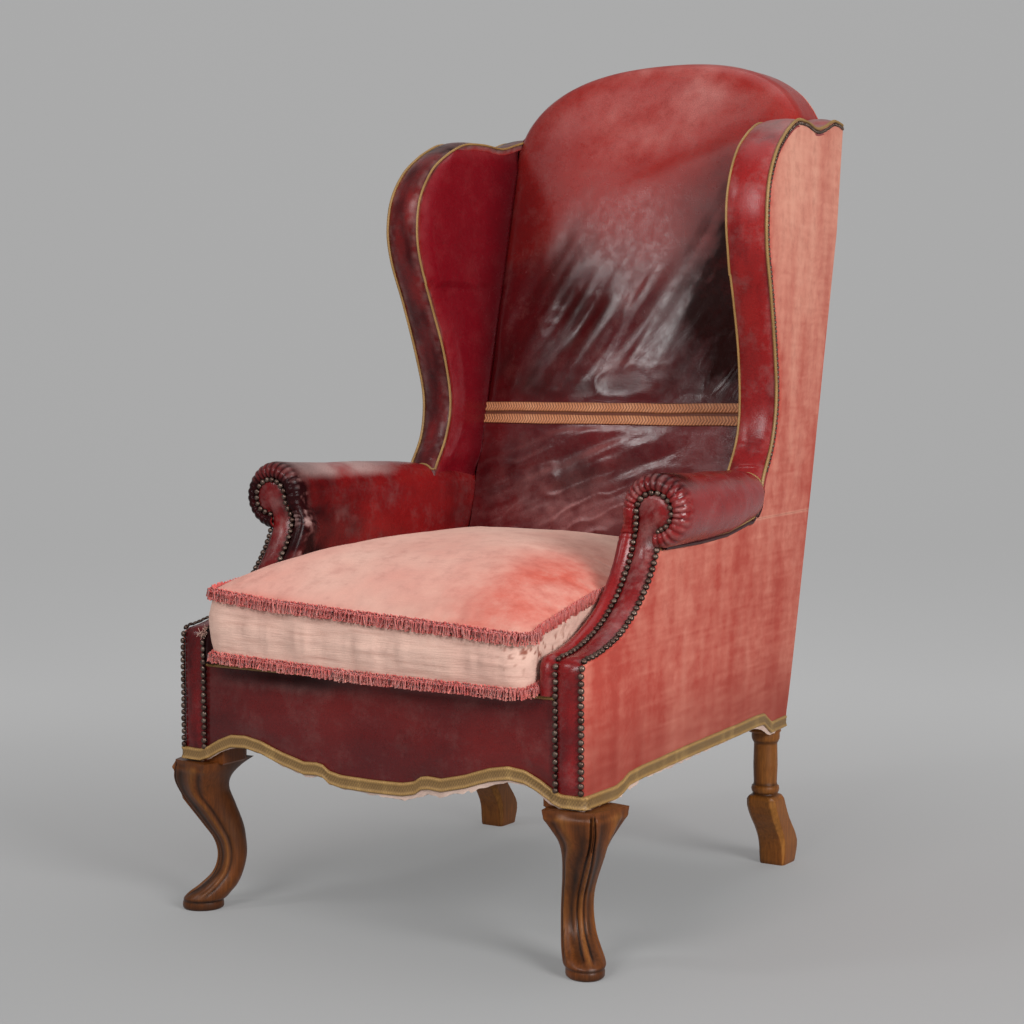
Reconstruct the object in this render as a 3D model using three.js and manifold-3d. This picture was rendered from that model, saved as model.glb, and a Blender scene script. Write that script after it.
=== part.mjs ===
// Wing armchair: timber frame, sprung seat, leather and velvet covers, loose box cushion.
// Units are millimetres, +Z is up, the chair faces -Y, and the origin is on the floor midway
// between front and back. "right" is the +X side, as seen by someone facing the chair.

import * as THREE from 'three';
import { mergeVertices } from 'three/addons/utils/BufferGeometryUtils.js';
import Module from 'manifold-3d';

const wasm = await Module();
wasm.setup();

// ---------------------------------------------------------------- driving dimensions

const GAP = 0.4; // clearance left between pieces that touch

// Seat plan
const SEAT_FRONT = -414; // front face of the posts and the front rail cover
const SEAT_BACK = 284; // outside back at the foot of the back
const FRONT_HALF = 327; // half width over the outside covers at the front
const REAR_HALF = 278; // half width over the outside covers at the rear
const FLARE = 34; // how far the sides lean out by wing height
const COVER = 2.5; // thickness of the outside velvet with its backing
const LEATHER = 3; // thickness of the leather with its wadding

// Heights
const BRAID_BOTTOM = 217;
const BRAID_HEIGHT = 17;
const RAIL_TOP = 335;
const DECK_TOP = 364;
const POST_BASE = 330.4; // arm posts stand on the leg blocks
const WING_BOTTOM = 613;
const COVER_SEAM = 548; // seam between outside arm and outside wing
const BRAID_BACK_Z = 695; // braid across the inside back
const ARCH_FOOT = 1157; // the back stands clear of the wings above this
const ARCH_CENTRE = 1100;
const CREST_TOP = 1258;

// Back
const BACK_HALF = 249; // half width of the inside back between the wings
const ARCH_HALF = 262;
const ARCH_POWER = 2.35;
const FACE_RAKE = 0.24; // lean of the inside back, mm per mm of height
const REAR_RAKE = 0.172; // lean of the outside back and the back posts
const POST_INSET = 8; // back post to outside back
const POST_DEPTH = 44;

// Arms
const FACING_INNER = 286.5;
const FACING_OUTER = 322.3;
const FACING_THICK = 6;
const LOBE_RADIUS = 27;
const LOBE_CENTRE = new THREE.Vector2(319.5, 576);
const SCROLL_FRONT = -222;
const ARM_END = 120; // the outside of the roll dies into the wing here

// Wings
const WING_BAND = 9; // thickness of the leather border round a wing
const WING_TIMBER = 22;

// Cushion
const CUSHION_FRONT = -444;
const CUSHION_BACK = 148;
const CUSHION_CROWN = 530;
const FRINGE = 14;
const FRINGE_REACH = 15.4;

// ---------------------------------------------------------------- materials

function finish(color, roughness, metalness = 0) {
  return new THREE.MeshStandardMaterial({ color, roughness, metalness });
}

const WALNUT = finish(0x6b4426, 0.45);
const BEECH = finish(0xa98455, 0.7);
const STEEL = finish(0x6f6a63, 0.4, 0.9);
const JUTE = finish(0xa48a5f, 0.95);
const HORSEHAIR = finish(0x4a3a2c, 0.95);
const LINEN = finish(0x2b2724, 0.95);
const LEATHER_RED = finish(0x7a2228, 0.4);
const LEATHER_DARK = finish(0x4f1a1c, 0.4);
const VELVET = finish(0xb45a4c, 0.9);
const CUSHION_VELVET = finish(0xe3ae9c, 0.9);
const GILT_BRAID = finish(0xb08d58, 0.7);
const CORAL_FRINGE = finish(0xb24a48, 0.95);

// ---------------------------------------------------------------- small helpers

const clamp01 = (t) => Math.min(1, Math.max(0, t));
const lerp = (a, b, t) => a + (b - a) * t;

function smooth(t) {
  const c = clamp01(t);
  return c * c * (3 - 2 * c);
}

// Value at x of a table of [x, value...] rows, straight between rows.
function along(table, x) {
  const last = table.length - 1;
  if (x <= table[0][0]) return table[0].slice(1);
  if (x >= table[last][0]) return table[last].slice(1);
  const i = table.findIndex((row) => row[0] > x) - 1;
  const t = (x - table[i][0]) / (table[i + 1][0] - table[i][0]);
  return table[i].slice(1).map((v, k) => lerp(v, table[i + 1][k + 1], t));
}

// A closed body from points and triangles, turned the right way out.
function body(points, triangles) {
  const p = points;
  let volume = 0;
  for (const [a, b, c] of triangles) {
    const cross = [
      p[b][1] * p[c][2] - p[b][2] * p[c][1],
      p[b][2] * p[c][0] - p[b][0] * p[c][2],
      p[b][0] * p[c][1] - p[b][1] * p[c][0],
    ];
    volume += p[a][0] * cross[0] + p[a][1] * cross[1] + p[a][2] * cross[2];
  }
  const index = triangles.flatMap(([a, b, c]) => (volume < 0 ? [a, c, b] : [a, b, c]));
  const geometry = new THREE.BufferGeometry();
  geometry.setAttribute('position', new THREE.Float32BufferAttribute(p.flat(), 3));
  geometry.setIndex(index);
  return geometry;
}

// A body through a row of flat outlines with equal numbers of points.
// place(a, b, i) puts point (a, b) of outline i in space.
function loft(outlines, place) {
  const n = outlines[0].length;
  const points = outlines.flatMap((outline, i) => outline.map(([a, b]) => place(a, b, i)));
  const triangles = [];
  for (let i = 0; i + 1 < outlines.length; i += 1) {
    for (let j = 0; j < n; j += 1) {
      const k = (j + 1) % n;
      const low = i * n;
      const high = low + n;
      triangles.push([low + j, low + k, high + k], [low + j, high + k, high + j]);
    }
  }
  const ccw = THREE.ShapeUtils.area(outlines[0].map(([a, b]) => new THREE.Vector2(a, b))) > 0;
  for (const end of [0, outlines.length - 1]) {
    const flat = outlines[end].map(([a, b]) => new THREE.Vector2(a, b));
    const cap = THREE.ShapeUtils.triangulateShape(ccw ? flat : flat.slice().reverse(), []);
    for (const face of cap) {
      const own = face.map((v) => (ccw ? v : n - 1 - v) + end * n);
      const keep = (end === 0) === ccw;
      triangles.push(keep ? [own[0], own[2], own[1]] : own);
    }
  }
  return body(points, triangles);
}

// A ring-shaped body: the section outlines follow one another and the last meets the first.
function ring(sections) {
  const n = sections[0].length;
  const triangles = [];
  for (let i = 0; i < sections.length; i += 1) {
    const low = i * n;
    const high = ((i + 1) % sections.length) * n;
    for (let j = 0; j < n; j += 1) {
      const k = (j + 1) % n;
      triangles.push([low + j, low + k, high + k], [low + j, high + k, high + j]);
    }
  }
  return body(sections.flat(), triangles);
}

// A strip through four-cornered sections given in space, closed at both ends.
function strip(sections) {
  const last = (sections.length - 1) * 4;
  const triangles = [[0, 2, 1], [0, 3, 2], [last, last + 1, last + 2], [last, last + 2, last + 3]];
  for (let low = 0; low < last; low += 4) {
    for (let j = 0; j < 4; j += 1) {
      const k = (j + 1) % 4;
      triangles.push([low + j, low + k, low + k + 4], [low + j, low + k + 4, low + j + 4]);
    }
  }
  return body(sections.flat(), triangles);
}

// A sheet between the surfaces x = near and x = far, each given as rows of (y, z) points.
function sheet(rows, near, far, farRows = rows) {
  const across = rows[0].length;
  const points = [
    ...rows.flat().map(([y, z]) => [near(y, z), y, z]),
    ...farRows.flat().map(([y, z]) => [far(y, z), y, z]),
  ];
  const half = rows.length * across;
  const triangles = [];
  for (let i = 0; i + 1 < rows.length; i += 1) {
    for (let j = 0; j + 1 < across; j += 1) {
      const a = i * across + j;
      const b = a + 1;
      const c = b + across;
      const d = a + across;
      triangles.push([a, b, c], [a, c, d]);
      triangles.push([half + a, half + c, half + b], [half + a, half + d, half + c]);
    }
  }
  const rim = [];
  for (let j = 0; j < across; j += 1) rim.push(j);
  for (let i = 1; i < rows.length; i += 1) rim.push(i * across + across - 1);
  for (let j = across - 2; j >= 0; j -= 1) rim.push((rows.length - 1) * across + j);
  for (let i = rows.length - 2; i > 0; i -= 1) rim.push(i * across);
  rim.forEach((a, i) => {
    const b = rim[(i + 1) % rim.length];
    triangles.push([b, a, half + a], [b, half + a, half + b]);
  });
  return body(points, triangles);
}

// Rows of points filling the four-sided patch between its bottom, top, front and back edges.
function patch(bottom, top, front, back) {
  const across = bottom.length - 1;
  const up = front.length - 1;
  return front.map((left, i) => {
    const t = i / up;
    return bottom.map((low, j) => {
      const s = j / across;
      return [0, 1].map((k) => {
        const ruled = lerp(low[k], top[j][k], t) + lerp(left[k], back[i][k], s);
        const first = lerp(bottom[0][k], bottom[across][k], s);
        const last = lerp(top[0][k], top[across][k], s);
        return ruled - lerp(first, last, t);
      });
    });
  });
}

function straight(a, b, steps) {
  return Array.from({ length: steps + 1 }, (_, i) => [0, 1].map((k) => lerp(a[k], b[k], i / steps)));
}

function spline(points, steps) {
  const curve = new THREE.SplineCurve(points.map(([a, b]) => new THREE.Vector2(a, b)));
  return curve.getSpacedPoints(steps).map((p) => [p.x, p.y]);
}

// The path moved sideways: to its right-hand side as it is followed when by is positive.
function moved(path, by) {
  return path.map(([a, b], i) => {
    const before = path[Math.max(0, i - 1)];
    const after = path[Math.min(path.length - 1, i + 1)];
    const length = Math.hypot(after[0] - before[0], after[1] - before[1]);
    const run = [(after[0] - before[0]) / length, (after[1] - before[1]) / length];
    return [a + run[1] * by, b - run[0] * by];
  });
}

function shapeOf(points) {
  return new THREE.Shape(points.map(([a, b]) => new THREE.Vector2(a, b)));
}

// Upright outline in (x, z), given depth between two raked planes.
function rakedPlate(shape, front, rear) {
  const geometry = new THREE.ExtrudeGeometry(shape, { depth: 1, bevelEnabled: false, curveSegments: 24 });
  const position = geometry.attributes.position;
  for (let i = 0; i < position.count; i += 1) {
    const x = position.getX(i);
    const z = position.getY(i);
    const t = position.getZ(i);
    position.setXYZ(i, x, lerp(rear(z), front(z), t), z);
  }
  return geometry;
}

// Flat outline in (x, y), standing between two heights.
function flatPlate(points, low, high) {
  const geometry = new THREE.ExtrudeGeometry(shapeOf(points), { depth: high - low, bevelEnabled: false });
  geometry.translate(0, 0, low);
  return geometry;
}

// Outline in (y, z), standing between two values of x.
function sidePlate(points, inner, outer) {
  const outlines = [points, points];
  return loft(outlines, (y, z, i) => [i === 0 ? inner : outer, y, z]);
}

function box(x, y, z) {
  const geometry = new THREE.BoxGeometry(x[1] - x[0], y[1] - y[0], z[1] - z[0]);
  geometry.translate((x[0] + x[1]) / 2, (y[0] + y[1]) / 2, (z[0] + z[1]) / 2);
  return geometry;
}

function solid(geometry) {
  const bare = geometry.clone();
  bare.deleteAttribute('normal');
  bare.deleteAttribute('uv');
  const merged = mergeVertices(bare, 1e-3);
  return new wasm.Manifold(
    new wasm.Mesh({
      numProp: 3,
      vertProperties: new Float32Array(merged.attributes.position.array),
      triVerts: new Uint32Array(merged.index.array),
    }),
  );
}

function surface(manifold) {
  const mesh = manifold.getMesh();
  const geometry = new THREE.BufferGeometry();
  geometry.setAttribute('position', new THREE.Float32BufferAttribute(mesh.vertProperties, 3));
  geometry.setIndex(Array.from(mesh.triVerts));
  return geometry;
}

const joined = (...parts) => surface(parts.map(solid).reduce((a, b) => a.add(b)));
const cut = (whole, ...tools) => surface(tools.map(solid).reduce((a, b) => a.subtract(b), solid(whole)));

// ---------------------------------------------------------------- the group

const chair = new THREE.Group();

function add(name, geometry, material) {
  const mesh = new THREE.Mesh(geometry, material);
  mesh.name = name;
  chair.add(mesh);
}

function mirrored(geometry) {
  const copy = geometry.index ? geometry.toNonIndexed() : geometry.clone();
  const position = copy.attributes.position;
  for (let i = 0; i < position.count; i += 3) {
    const [a, b, c] = [0, 1, 2].map((k) => new THREE.Vector3().fromBufferAttribute(position, i + k));
    [a, c, b].forEach((v, k) => position.setXYZ(i + k, -v.x, v.y, v.z));
  }
  return copy;
}

function addPair(name, geometry, material) {
  add(`${name}_right`, geometry, material);
  add(`${name}_left`, mirrored(geometry), material);
}

// ---------------------------------------------------------------- shared surfaces

const seatHalf = (y) => {
  const t = Math.max(0, (y - SEAT_FRONT) / (SEAT_BACK - SEAT_FRONT));
  return FRONT_HALF - (FRONT_HALF - REAR_HALF) * t ** 1.5;
};

// Outside of the velvet at the side.
function sideX(y, z) {
  const lean = FLARE * clamp01((z - 240) / 740) ** 0.85;
  return seatHalf(y) + lean * clamp01((y - SEAT_FRONT) / 450);
}

const faceY = (z) => 202 + FACE_RAKE * (z - 520);
const rearY = (z) => SEAT_BACK + REAR_RAKE * (z - 235);
const postRear = (z) => rearY(z) - POST_INSET;
const postFront = (z) => postRear(z) - POST_DEPTH;

// Lower edge of the covers: shaped across the front, nearly straight along the sides.
const FRONT_EDGE = [
  [0, 204], [50, 205], [70, 209], [80, 216], [92, 218], [112, 217], [150, 226],
  [186, 238], [215, 243], [240, 241], [262, 232], [280, 222], [294, BRAID_BOTTOM], [327, BRAID_BOTTOM],
];
const SIDE_EDGE = [
  [SEAT_FRONT, BRAID_BOTTOM], [-330, BRAID_BOTTOM], [-312, 221], [-296, 228], [-260, 231],
  [-100, 235], [150, 236], [180, 235], [198, 226], [216, BRAID_BOTTOM], [SEAT_BACK, BRAID_BOTTOM],
];
const frontEdge = (x) => along(FRONT_EDGE, Math.abs(x))[0];
const sideEdge = (y) => along(SIDE_EDGE, y)[0];

// Front of an arm in (y, z): upright post, rounded shoulder, sweep back and up to the scroll.
const ARM_CORNER = new THREE.QuadraticBezierCurve(
  new THREE.Vector2(SEAT_FRONT, 388), new THREE.Vector2(SEAT_FRONT, 401), new THREE.Vector2(-400, 402),
);
const ARM_SWEEP = new THREE.CubicBezierCurve(
  new THREE.Vector2(-400, 402), new THREE.Vector2(-300, 412),
  new THREE.Vector2(-228, 478), new THREE.Vector2(-208, 556),
);
function armFront(from) {
  const corner = ARM_CORNER.getPoints(3).map((p) => [p.x, p.y]);
  const sweep = ARM_SWEEP.getPoints(9).map((p) => [p.x, p.y]);
  return [[SEAT_FRONT, from], ...corner, ...sweep.slice(1)];
}

// The arm roll: y, then centre x, centre z and radius.
const ROLL = [
  [-208, 319.5, 578.5, 49.5], [-99, 312, 575.5, 46.5], [-8, 303, 576.5, 41.5],
  [62, 293, 580, 34], [ARM_END, 283.5, 582, 29.5], [ARM_END + 3, 279, 582, 26], [240, 273, 582, 23],
];

// Edge of a wing in (y, z), from the arm round the front and over the top to the back.
const WING_FRONT_OUTER = [
  [128, WING_BOTTOM], [155, 660], [164, 720], [150, 785], [122, 870], [97, 935],
  [90, 985], [100, 1035], [130, 1078], [170, 1108],
];
const WING_TOP_OUTER = [
  [170, 1108], [215, 1128], [262, 1130], [306, 1125], [345, 1132], [394, 1146], [446, 1143],
];
const WING_FRONT_INNER = [
  [118, WING_BOTTOM], [146, 660], [157, 715], [144, 790], [118, 862], [95, 920],
  [83, 975], [90, 1030], [122, 1080], [165, 1110],
];
const WING_TOP_INNER = [
  [165, 1110], [205, 1126], [254, 1130], [306, 1128], [345, 1138], [394, 1149], [446, 1146],
];
const WING_STEPS = 12;
const TOP_STEPS = 7;
function wingEdge(front, top) {
  return [...spline(front, WING_STEPS), ...spline(top, TOP_STEPS).slice(1)];
}
const WING_OUTER = wingEdge(WING_FRONT_OUTER, WING_TOP_OUTER);
const WING_INNER = wingEdge(WING_FRONT_INNER, WING_TOP_INNER);

// Inside face of a wing: fullest at the front, meeting the inside back at its edge.
function wingInnerX(y, z) {
  const front = 258 + 12 * smooth((z - 700) / 280);
  const start = z < 900 ? 150 : 90;
  return lerp(front, 250, clamp01((y - start) / (faceY(z) - start)));
}

// ---------------------------------------------------------------- front legs

// z, centre along the diagonal, half depth out, half depth in, half width, squareness
const LEG_SECTIONS = [
  [0, 0, 26, 26, 22, 2], [3, 0, 29, 29, 24.5, 2], [11, 0, 29, 29, 25, 2], [14, 1, 30, 31, 27, 2],
  [22, 8, 29, 31, 27, 2], [34, 22, 25, 27, 25, 2], [52, 36, 21, 21, 22, 2], [75, 42, 20, 20, 20.5, 2],
  [98, 39, 22, 22, 20.5, 1.9], [120, 29, 27, 28, 22, 1.8], [150, 12, 32, 34, 27, 1.6],
  [172, 2, 36, 36, 34, 1.4], [188, -1, 39, 42, 44, 1.25], [203, -1, 38, 56, 54, 1.12],
  [BRAID_BOTTOM - 2.2, -1, 36, 74, 57, 1.05],
];
const FOOT = new THREE.Vector2(314, -389);
const LEG_BLOCK = { x: [262, 318], y: [-405, -352], z: [BRAID_BOTTOM - 6, RAIL_TOP - 5] };

function rounded(count, out, inward, half, power) {
  return Array.from({ length: count }, (_, i) => {
    const angle = (2 * Math.PI * i) / count;
    const c = Math.cos(angle);
    const s = Math.sin(angle);
    const p = Math.sign(c) * Math.abs(c) ** (2 / power);
    const q = Math.sign(s) * Math.abs(s) ** (2 / power);
    return [p * (c > 0 ? out : inward), q * half];
  });
}

function frontLeg() {
  const outlines = LEG_SECTIONS.map((section) => rounded(20, ...section.slice(2)));
  const leg = loft(outlines, (p, q, i) => {
    const [z, centre] = LEG_SECTIONS[i];
    const along45 = p - centre;
    return [FOOT.x + (along45 + q) * Math.SQRT1_2, FOOT.y + (-along45 + q) * Math.SQRT1_2, z];
  });
  return joined(leg, box(LEG_BLOCK.x, LEG_BLOCK.y, LEG_BLOCK.z));
}
addPair('front_leg', frontLeg(), WALNUT);

// ---------------------------------------------------------------- rear legs and back posts

// z, centre y, half width, half depth, squareness (2 is round, 8 is nearly square)
const REAR_X = 258;
const POST_TOP = 1094;
const REAR_SECTIONS = [
  [0, 302, 22, 26, 8], [28, 302, 22, 27, 8], [36, 298, 21, 27, 8], [58, 285, 21, 25, 8],
  [78, 268, 22, 24, 8], [95, 257, 22, 23, 8], [114, 254, 22, 22, 8], [118, 254, 19, 19, 3],
  [122, 254, 20.5, 20.5, 2], [129, 254, 20.5, 20.5, 2], [132, 254, 18, 18, 2], [196, 254, 17.8, 17.8, 2],
  [199, 254, 21, 21, 2], [210, 254, 21.5, 21.5, 2], [214, postRear(214) - 22, 19, 22, 8],
  [POST_TOP, postRear(POST_TOP) - 22, 19, 22, 8],
];
function rearLeg() {
  const outlines = REAR_SECTIONS.map(([, , half, depth, power]) => rounded(16, half, half, depth, power));
  return loft(outlines, (p, q, i) => [REAR_X + p, REAR_SECTIONS[i][1] + q, REAR_SECTIONS[i][0]]);
}
addPair('rear_leg', rearLeg(), WALNUT);

// ---------------------------------------------------------------- seat frame

const RAIL_THICK = 28;
const FRONT_RAIL = [-408, -380];
const BACK_RAIL = [241, 266];

function shapedAcross(half, top, lift) {
  const steps = 26;
  const low = Array.from({ length: steps + 1 }, (_, i) => {
    const x = lerp(-half, half, i / steps);
    return [x, frontEdge(x) + lift];
  });
  return shapeOf([...low, [half, top], [-half, top]]);
}
add(
  'front_seat_rail',
  rakedPlate(shapedAcross(LEG_BLOCK.x[0] - GAP, RAIL_TOP, 2), () => FRONT_RAIL[0], () => FRONT_RAIL[1]),
  BEECH,
);

function sideRail() {
  const front = LEG_BLOCK.y[1] + GAP;
  const rear = postFront(BRAID_BOTTOM) - GAP;
  const ys = Array.from({ length: 15 }, (_, i) => lerp(front, rear, i / 14));
  const rows = [0, 1].map((t) => ys.map((y) => [y, lerp(sideEdge(y) + 2, RAIL_TOP, t)]));
  const outer = (y) => seatHalf(y) - COVER - 1;
  return sheet(rows, (y) => outer(y) - RAIL_THICK, outer);
}
addPair('side_seat_rail', sideRail(), BEECH);
const BETWEEN_POSTS = REAR_X - 19.4;
add('back_seat_rail', box([-BETWEEN_POSTS, BETWEEN_POSTS], BACK_RAIL, [238, RAIL_TOP]), BEECH);

// Three-cornered glue blocks, notched round the leg and the post.
const blockFront = FRONT_RAIL[1] + GAP;
const blockRear = BACK_RAIL[0] - GAP;
const legNotch = [LEG_BLOCK.x[0] - GAP, LEG_BLOCK.y[1] + GAP];
const postNotch = [BETWEEN_POSTS - GAP, 231];
const FRONT_BLOCK = [
  [legNotch[0], blockFront], legNotch, [286, legNotch[1]], [286, -290], [198, blockFront],
];
const REAR_BLOCK = [
  [postNotch[0], blockRear], postNotch, [250, postNotch[1]], [250, 160], [170, blockRear],
];
const BLOCK_Z = [256, 300];
addPair('front_corner_block', flatPlate(FRONT_BLOCK, ...BLOCK_Z), BEECH);
addPair('rear_corner_block', flatPlate(REAR_BLOCK, ...BLOCK_Z), BEECH);

// ---------------------------------------------------------------- back frame

const CREST_HALF = 240;
const CREST_THICK = 28;
const CREST_INSET = 22;
// Superelliptical arch from left to right, half wide at each side and height tall above foot.
function arch(half, height, foot, steps) {
  return Array.from({ length: steps + 1 }, (_, i) => {
    const angle = (Math.PI * i) / steps;
    const c = Math.cos(angle);
    const s = Math.sin(angle);
    const x = -Math.sign(c) * half * Math.abs(c) ** (2 / ARCH_POWER);
    return [x, foot + height * s ** (2 / ARCH_POWER)];
  });
}
const crestRear = (z) => postRear(z) - 4;
const crestBoard = arch(CREST_HALF, CREST_TOP - CREST_INSET - POST_TOP - GAP, POST_TOP + GAP, 20);
add(
  'crest_rail',
  rakedPlate(shapeOf(crestBoard.reverse()), (z) => crestRear(z) - CREST_THICK, crestRear),
  BEECH,
);
const LOWER_RAIL = [440, 490];
add(
  'lower_back_rail',
  rakedPlate(
    shapeOf([[-BETWEEN_POSTS, LOWER_RAIL[0]], [BETWEEN_POSTS, LOWER_RAIL[0]],
      [BETWEEN_POSTS, LOWER_RAIL[1]], [-BETWEEN_POSTS, LOWER_RAIL[1]]]),
    (z) => postRear(z) - 30,
    (z) => postRear(z) - 6,
  ),
  BEECH,
);

// ---------------------------------------------------------------- arm frame

const ARM_RAIL_FRONT = -199;
const RAIL_DROP = 46; // underside of the arm rail below the centre of the roll

// Timber behind the facing, from the leg block up to the arm rail, in (y, z).
const ARM_POST_TOP = 530;
const armPostFront = moved(armFront(POST_BASE), FACING_THICK + 1).filter(([, z]) => z < ARM_POST_TOP);
const ARM_POST_REAR = new THREE.CubicBezierCurve(
  new THREE.Vector2(-160, ARM_POST_TOP), new THREE.Vector2(-176, 470),
  new THREE.Vector2(-235, 385), new THREE.Vector2(-366, 372),
);
const armPostOutline = [
  [armPostFront[0][0], POST_BASE],
  ...armPostFront.slice(1),
  [-205, ARM_POST_TOP],
  ...ARM_POST_REAR.getPoints(8).map((p) => [p.x, p.y]),
  [-366, POST_BASE],
];
addPair('arm_post', sidePlate(armPostOutline, FACING_INNER + 2, FACING_OUTER - 0.8), BEECH);

function armRail() {
  const stations = [ARM_RAIL_FRONT, ...ROLL.slice(1).map(([y]) => y), 280];
  const outlines = stations.map((y) => {
    const [cx, cz] = along(ROLL, y);
    const [left, right, top] = [cx - 19, cx + 3, cz - 5.5];
    return [[left, cz - RAIL_DROP], [right, cz - RAIL_DROP], [right, top], [left, top]];
  });
  return loft(outlines, (x, z, i) => [x, stations[i], z]);
}
addPair('arm_rail', armRail(), BEECH);

// ---------------------------------------------------------------- wing frame

// Rows of points that fill a wing from its edge back to the plane rear(z).
function wingRows(edge, by, base, rear) {
  const path = moved(edge, by);
  const front = path.slice(0, WING_STEPS + 1);
  const rise = (base - front[0][1]) / (front[1][1] - front[0][1]);
  front[0] = [lerp(front[0][0], front[1][0], rise), base];
  const over = path.slice(WING_STEPS);
  const end = over[over.length - 1];
  const last = [rear(end[1]), end[1]];
  const kept = over.filter(([y, z]) => y < rear(z) - 6);
  const top = spline([...kept, last], TOP_STEPS);
  const bottom = straight(front[0], [rear(base), base], TOP_STEPS);
  const back = straight(bottom[TOP_STEPS], last, WING_STEPS);
  return patch(bottom, top, front, back);
}

const timberX = (y, z) => sideX(y, z) - COVER - 3;
addPair(
  'wing_frame',
  sheet(
    wingRows(WING_OUTER, WING_BAND + 5, WING_BOTTOM + 2, (z) => postFront(z) - GAP),
    (y, z) => timberX(y, z) - WING_TIMBER,
    timberX,
  ),
  BEECH,
);

// ---------------------------------------------------------------- webbing and springs

const STRAP = 50;
const WEB = [246, 248.5];
const SPRING_X = [-150, 0, 150];
const SPRING_Y = [-265, -115, 35];
const seatStraps = [
  ...SPRING_X.map((x) => box([x - STRAP / 2, x + STRAP / 2], [FRONT_RAIL[1] + 1, BACK_RAIL[0] - 1], WEB)),
  ...SPRING_Y.map((y) => {
    const half = seatHalf(y + STRAP / 2) - COVER - RAIL_THICK - 2;
    return box([-half, half], [y - STRAP / 2, y + STRAP / 2], WEB);
  }),
];
add('seat_webbing', joined(...seatStraps), JUTE);

const WIRE_RADIUS = 2.2;
class SpringCurve extends THREE.Curve {
  getPoint(t) {
    const turns = 4;
    const angle = 2 * Math.PI * turns * t;
    const radius = 26 + 18 * (2 * t - 1) ** 2;
    const height = lerp(WEB[1] + 4, 326, t);
    return new THREE.Vector3(radius * Math.cos(angle), radius * Math.sin(angle), height);
  }
}

function spring(x, y) {
  const wire = shapeOf(rounded(5, WIRE_RADIUS, WIRE_RADIUS, WIRE_RADIUS, 2));
  const geometry = new THREE.ExtrudeGeometry(wire, {
    steps: 36, extrudePath: new SpringCurve(), bevelEnabled: false,
  });
  geometry.translate(x, y, 0);
  return geometry;
}
SPRING_Y.forEach((y, row) => {
  SPRING_X.forEach((x, column) => add(`seat_spring_${row * 3 + column + 1}`, spring(x, y), STEEL));
});

function backWebbing() {
  const depth = (z) => postRear(z) - 38;
  const straps = [];
  for (const x of [-140, 0, 140]) {
    straps.push(box([x - STRAP / 2, x + STRAP / 2], [0, 2.5], [492, POST_TOP]));
  }
  for (const z of [560, 700, 840, 980]) {
    straps.push(box([-BETWEEN_POSTS, BETWEEN_POSTS], [0, 2.5], [z, z + STRAP]));
  }
  const lattice = joined(...straps);
  const position = lattice.attributes.position;
  for (let i = 0; i < position.count; i += 1) {
    position.setY(i, position.getY(i) + depth(position.getZ(i)));
  }
  return lattice;
}
add('back_webbing', backWebbing(), JUTE);

// ---------------------------------------------------------------- seat stuffing

// Right half of a plan in (x, y) with its left half added.
const bothSides = (half) => [...half, ...half.map(([x, y]) => [-x, y]).reverse()];
const DECK = bothSides([[258, -406], [257, -200], [252, 0], [245, 148]]);
const CANVAS = DECK.map(([x, y]) => [x * 0.94, Math.max(y, -376)]);
const DUST = bothSides([[254, -376], [254, -345], [270, -286], [240, 160], [236, 228]]);
const CANVAS_Z = [330, 331.5];
const DUST_Z = [239, 240.2];
add('spring_canvas', flatPlate(CANVAS, ...CANVAS_Z), JUTE);
add('seat_deck', flatPlate(DECK, RAIL_TOP + GAP, DECK_TOP), JUTE);
add('dust_cover', flatPlate(DUST, ...DUST_Z), LINEN);

// ---------------------------------------------------------------- inside back

// The part of the arch that stands above the wings, drawn in by shrink.
function fullArch(shrink) {
  const whole = arch(ARCH_HALF - shrink, CREST_TOP - ARCH_CENTRE - shrink, ARCH_CENTRE, 40);
  return whole.filter(([, z]) => z > ARCH_FOOT);
}

function backOutline(low, half, shrink) {
  const over = fullArch(shrink).reverse();
  return shapeOf([[-half, low], [half, low], [half, ARCH_FOOT], ...over, [-half, ARCH_FOOT]]);
}

const BACK_BRAID_HALF = 17;
const UPPER_LOW = BRAID_BACK_Z + BACK_BRAID_HALF + GAP;
// The leather over the inside back and round the edge of the arch.
function upperLeather() {
  const outer = rakedPlate(backOutline(UPPER_LOW, BACK_HALF, 0), faceY, (z) => rearY(z) - COVER - GAP);
  const inside = backOutline(UPPER_LOW - 20, BACK_HALF + 20, LEATHER + 0.5);
  return cut(outer, rakedPlate(inside, (z) => faceY(z) + LEATHER, (z) => rearY(z) + 9));
}
add('back_leather_upper', upperLeather(), LEATHER_RED);

const BACK_LOW = 372;
function faceSheet(low, high, front, rear) {
  const outline = shapeOf([[-BACK_HALF, low], [BACK_HALF, low], [BACK_HALF, high], [-BACK_HALF, high]]);
  return rakedPlate(outline, (z) => faceY(z) + front, (z) => faceY(z) + rear);
}
add('back_leather_lower', faceSheet(BACK_LOW, BRAID_BACK_Z - BACK_BRAID_HALF - GAP, 0, LEATHER), LEATHER_DARK);
const braidBand = [BRAID_BACK_Z - BACK_BRAID_HALF, BRAID_BACK_Z + BACK_BRAID_HALF];
add('back_braid', faceSheet(...braidBand, -2.5, LEATHER), GILT_BRAID);
const stuffing = backOutline(BACK_LOW + 4, BACK_HALF - 1, LEATHER + 1.2);
add(
  'back_stuffing',
  rakedPlate(stuffing, (z) => faceY(z) + LEATHER + 1, (z) => postFront(z) - 1),
  HORSEHAIR,
);

// ---------------------------------------------------------------- arm upholstery

const ARM_WALL = 9; // thickness of the inside arm below the rail
const ARM_LOW = 345;
const ARM_INSIDE = 264.5; // inner face of the arm at the front
const ROLL_ENDS = [[-222, 28], [-220, 36], [-214, 44], [-206, 48.5]];

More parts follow.
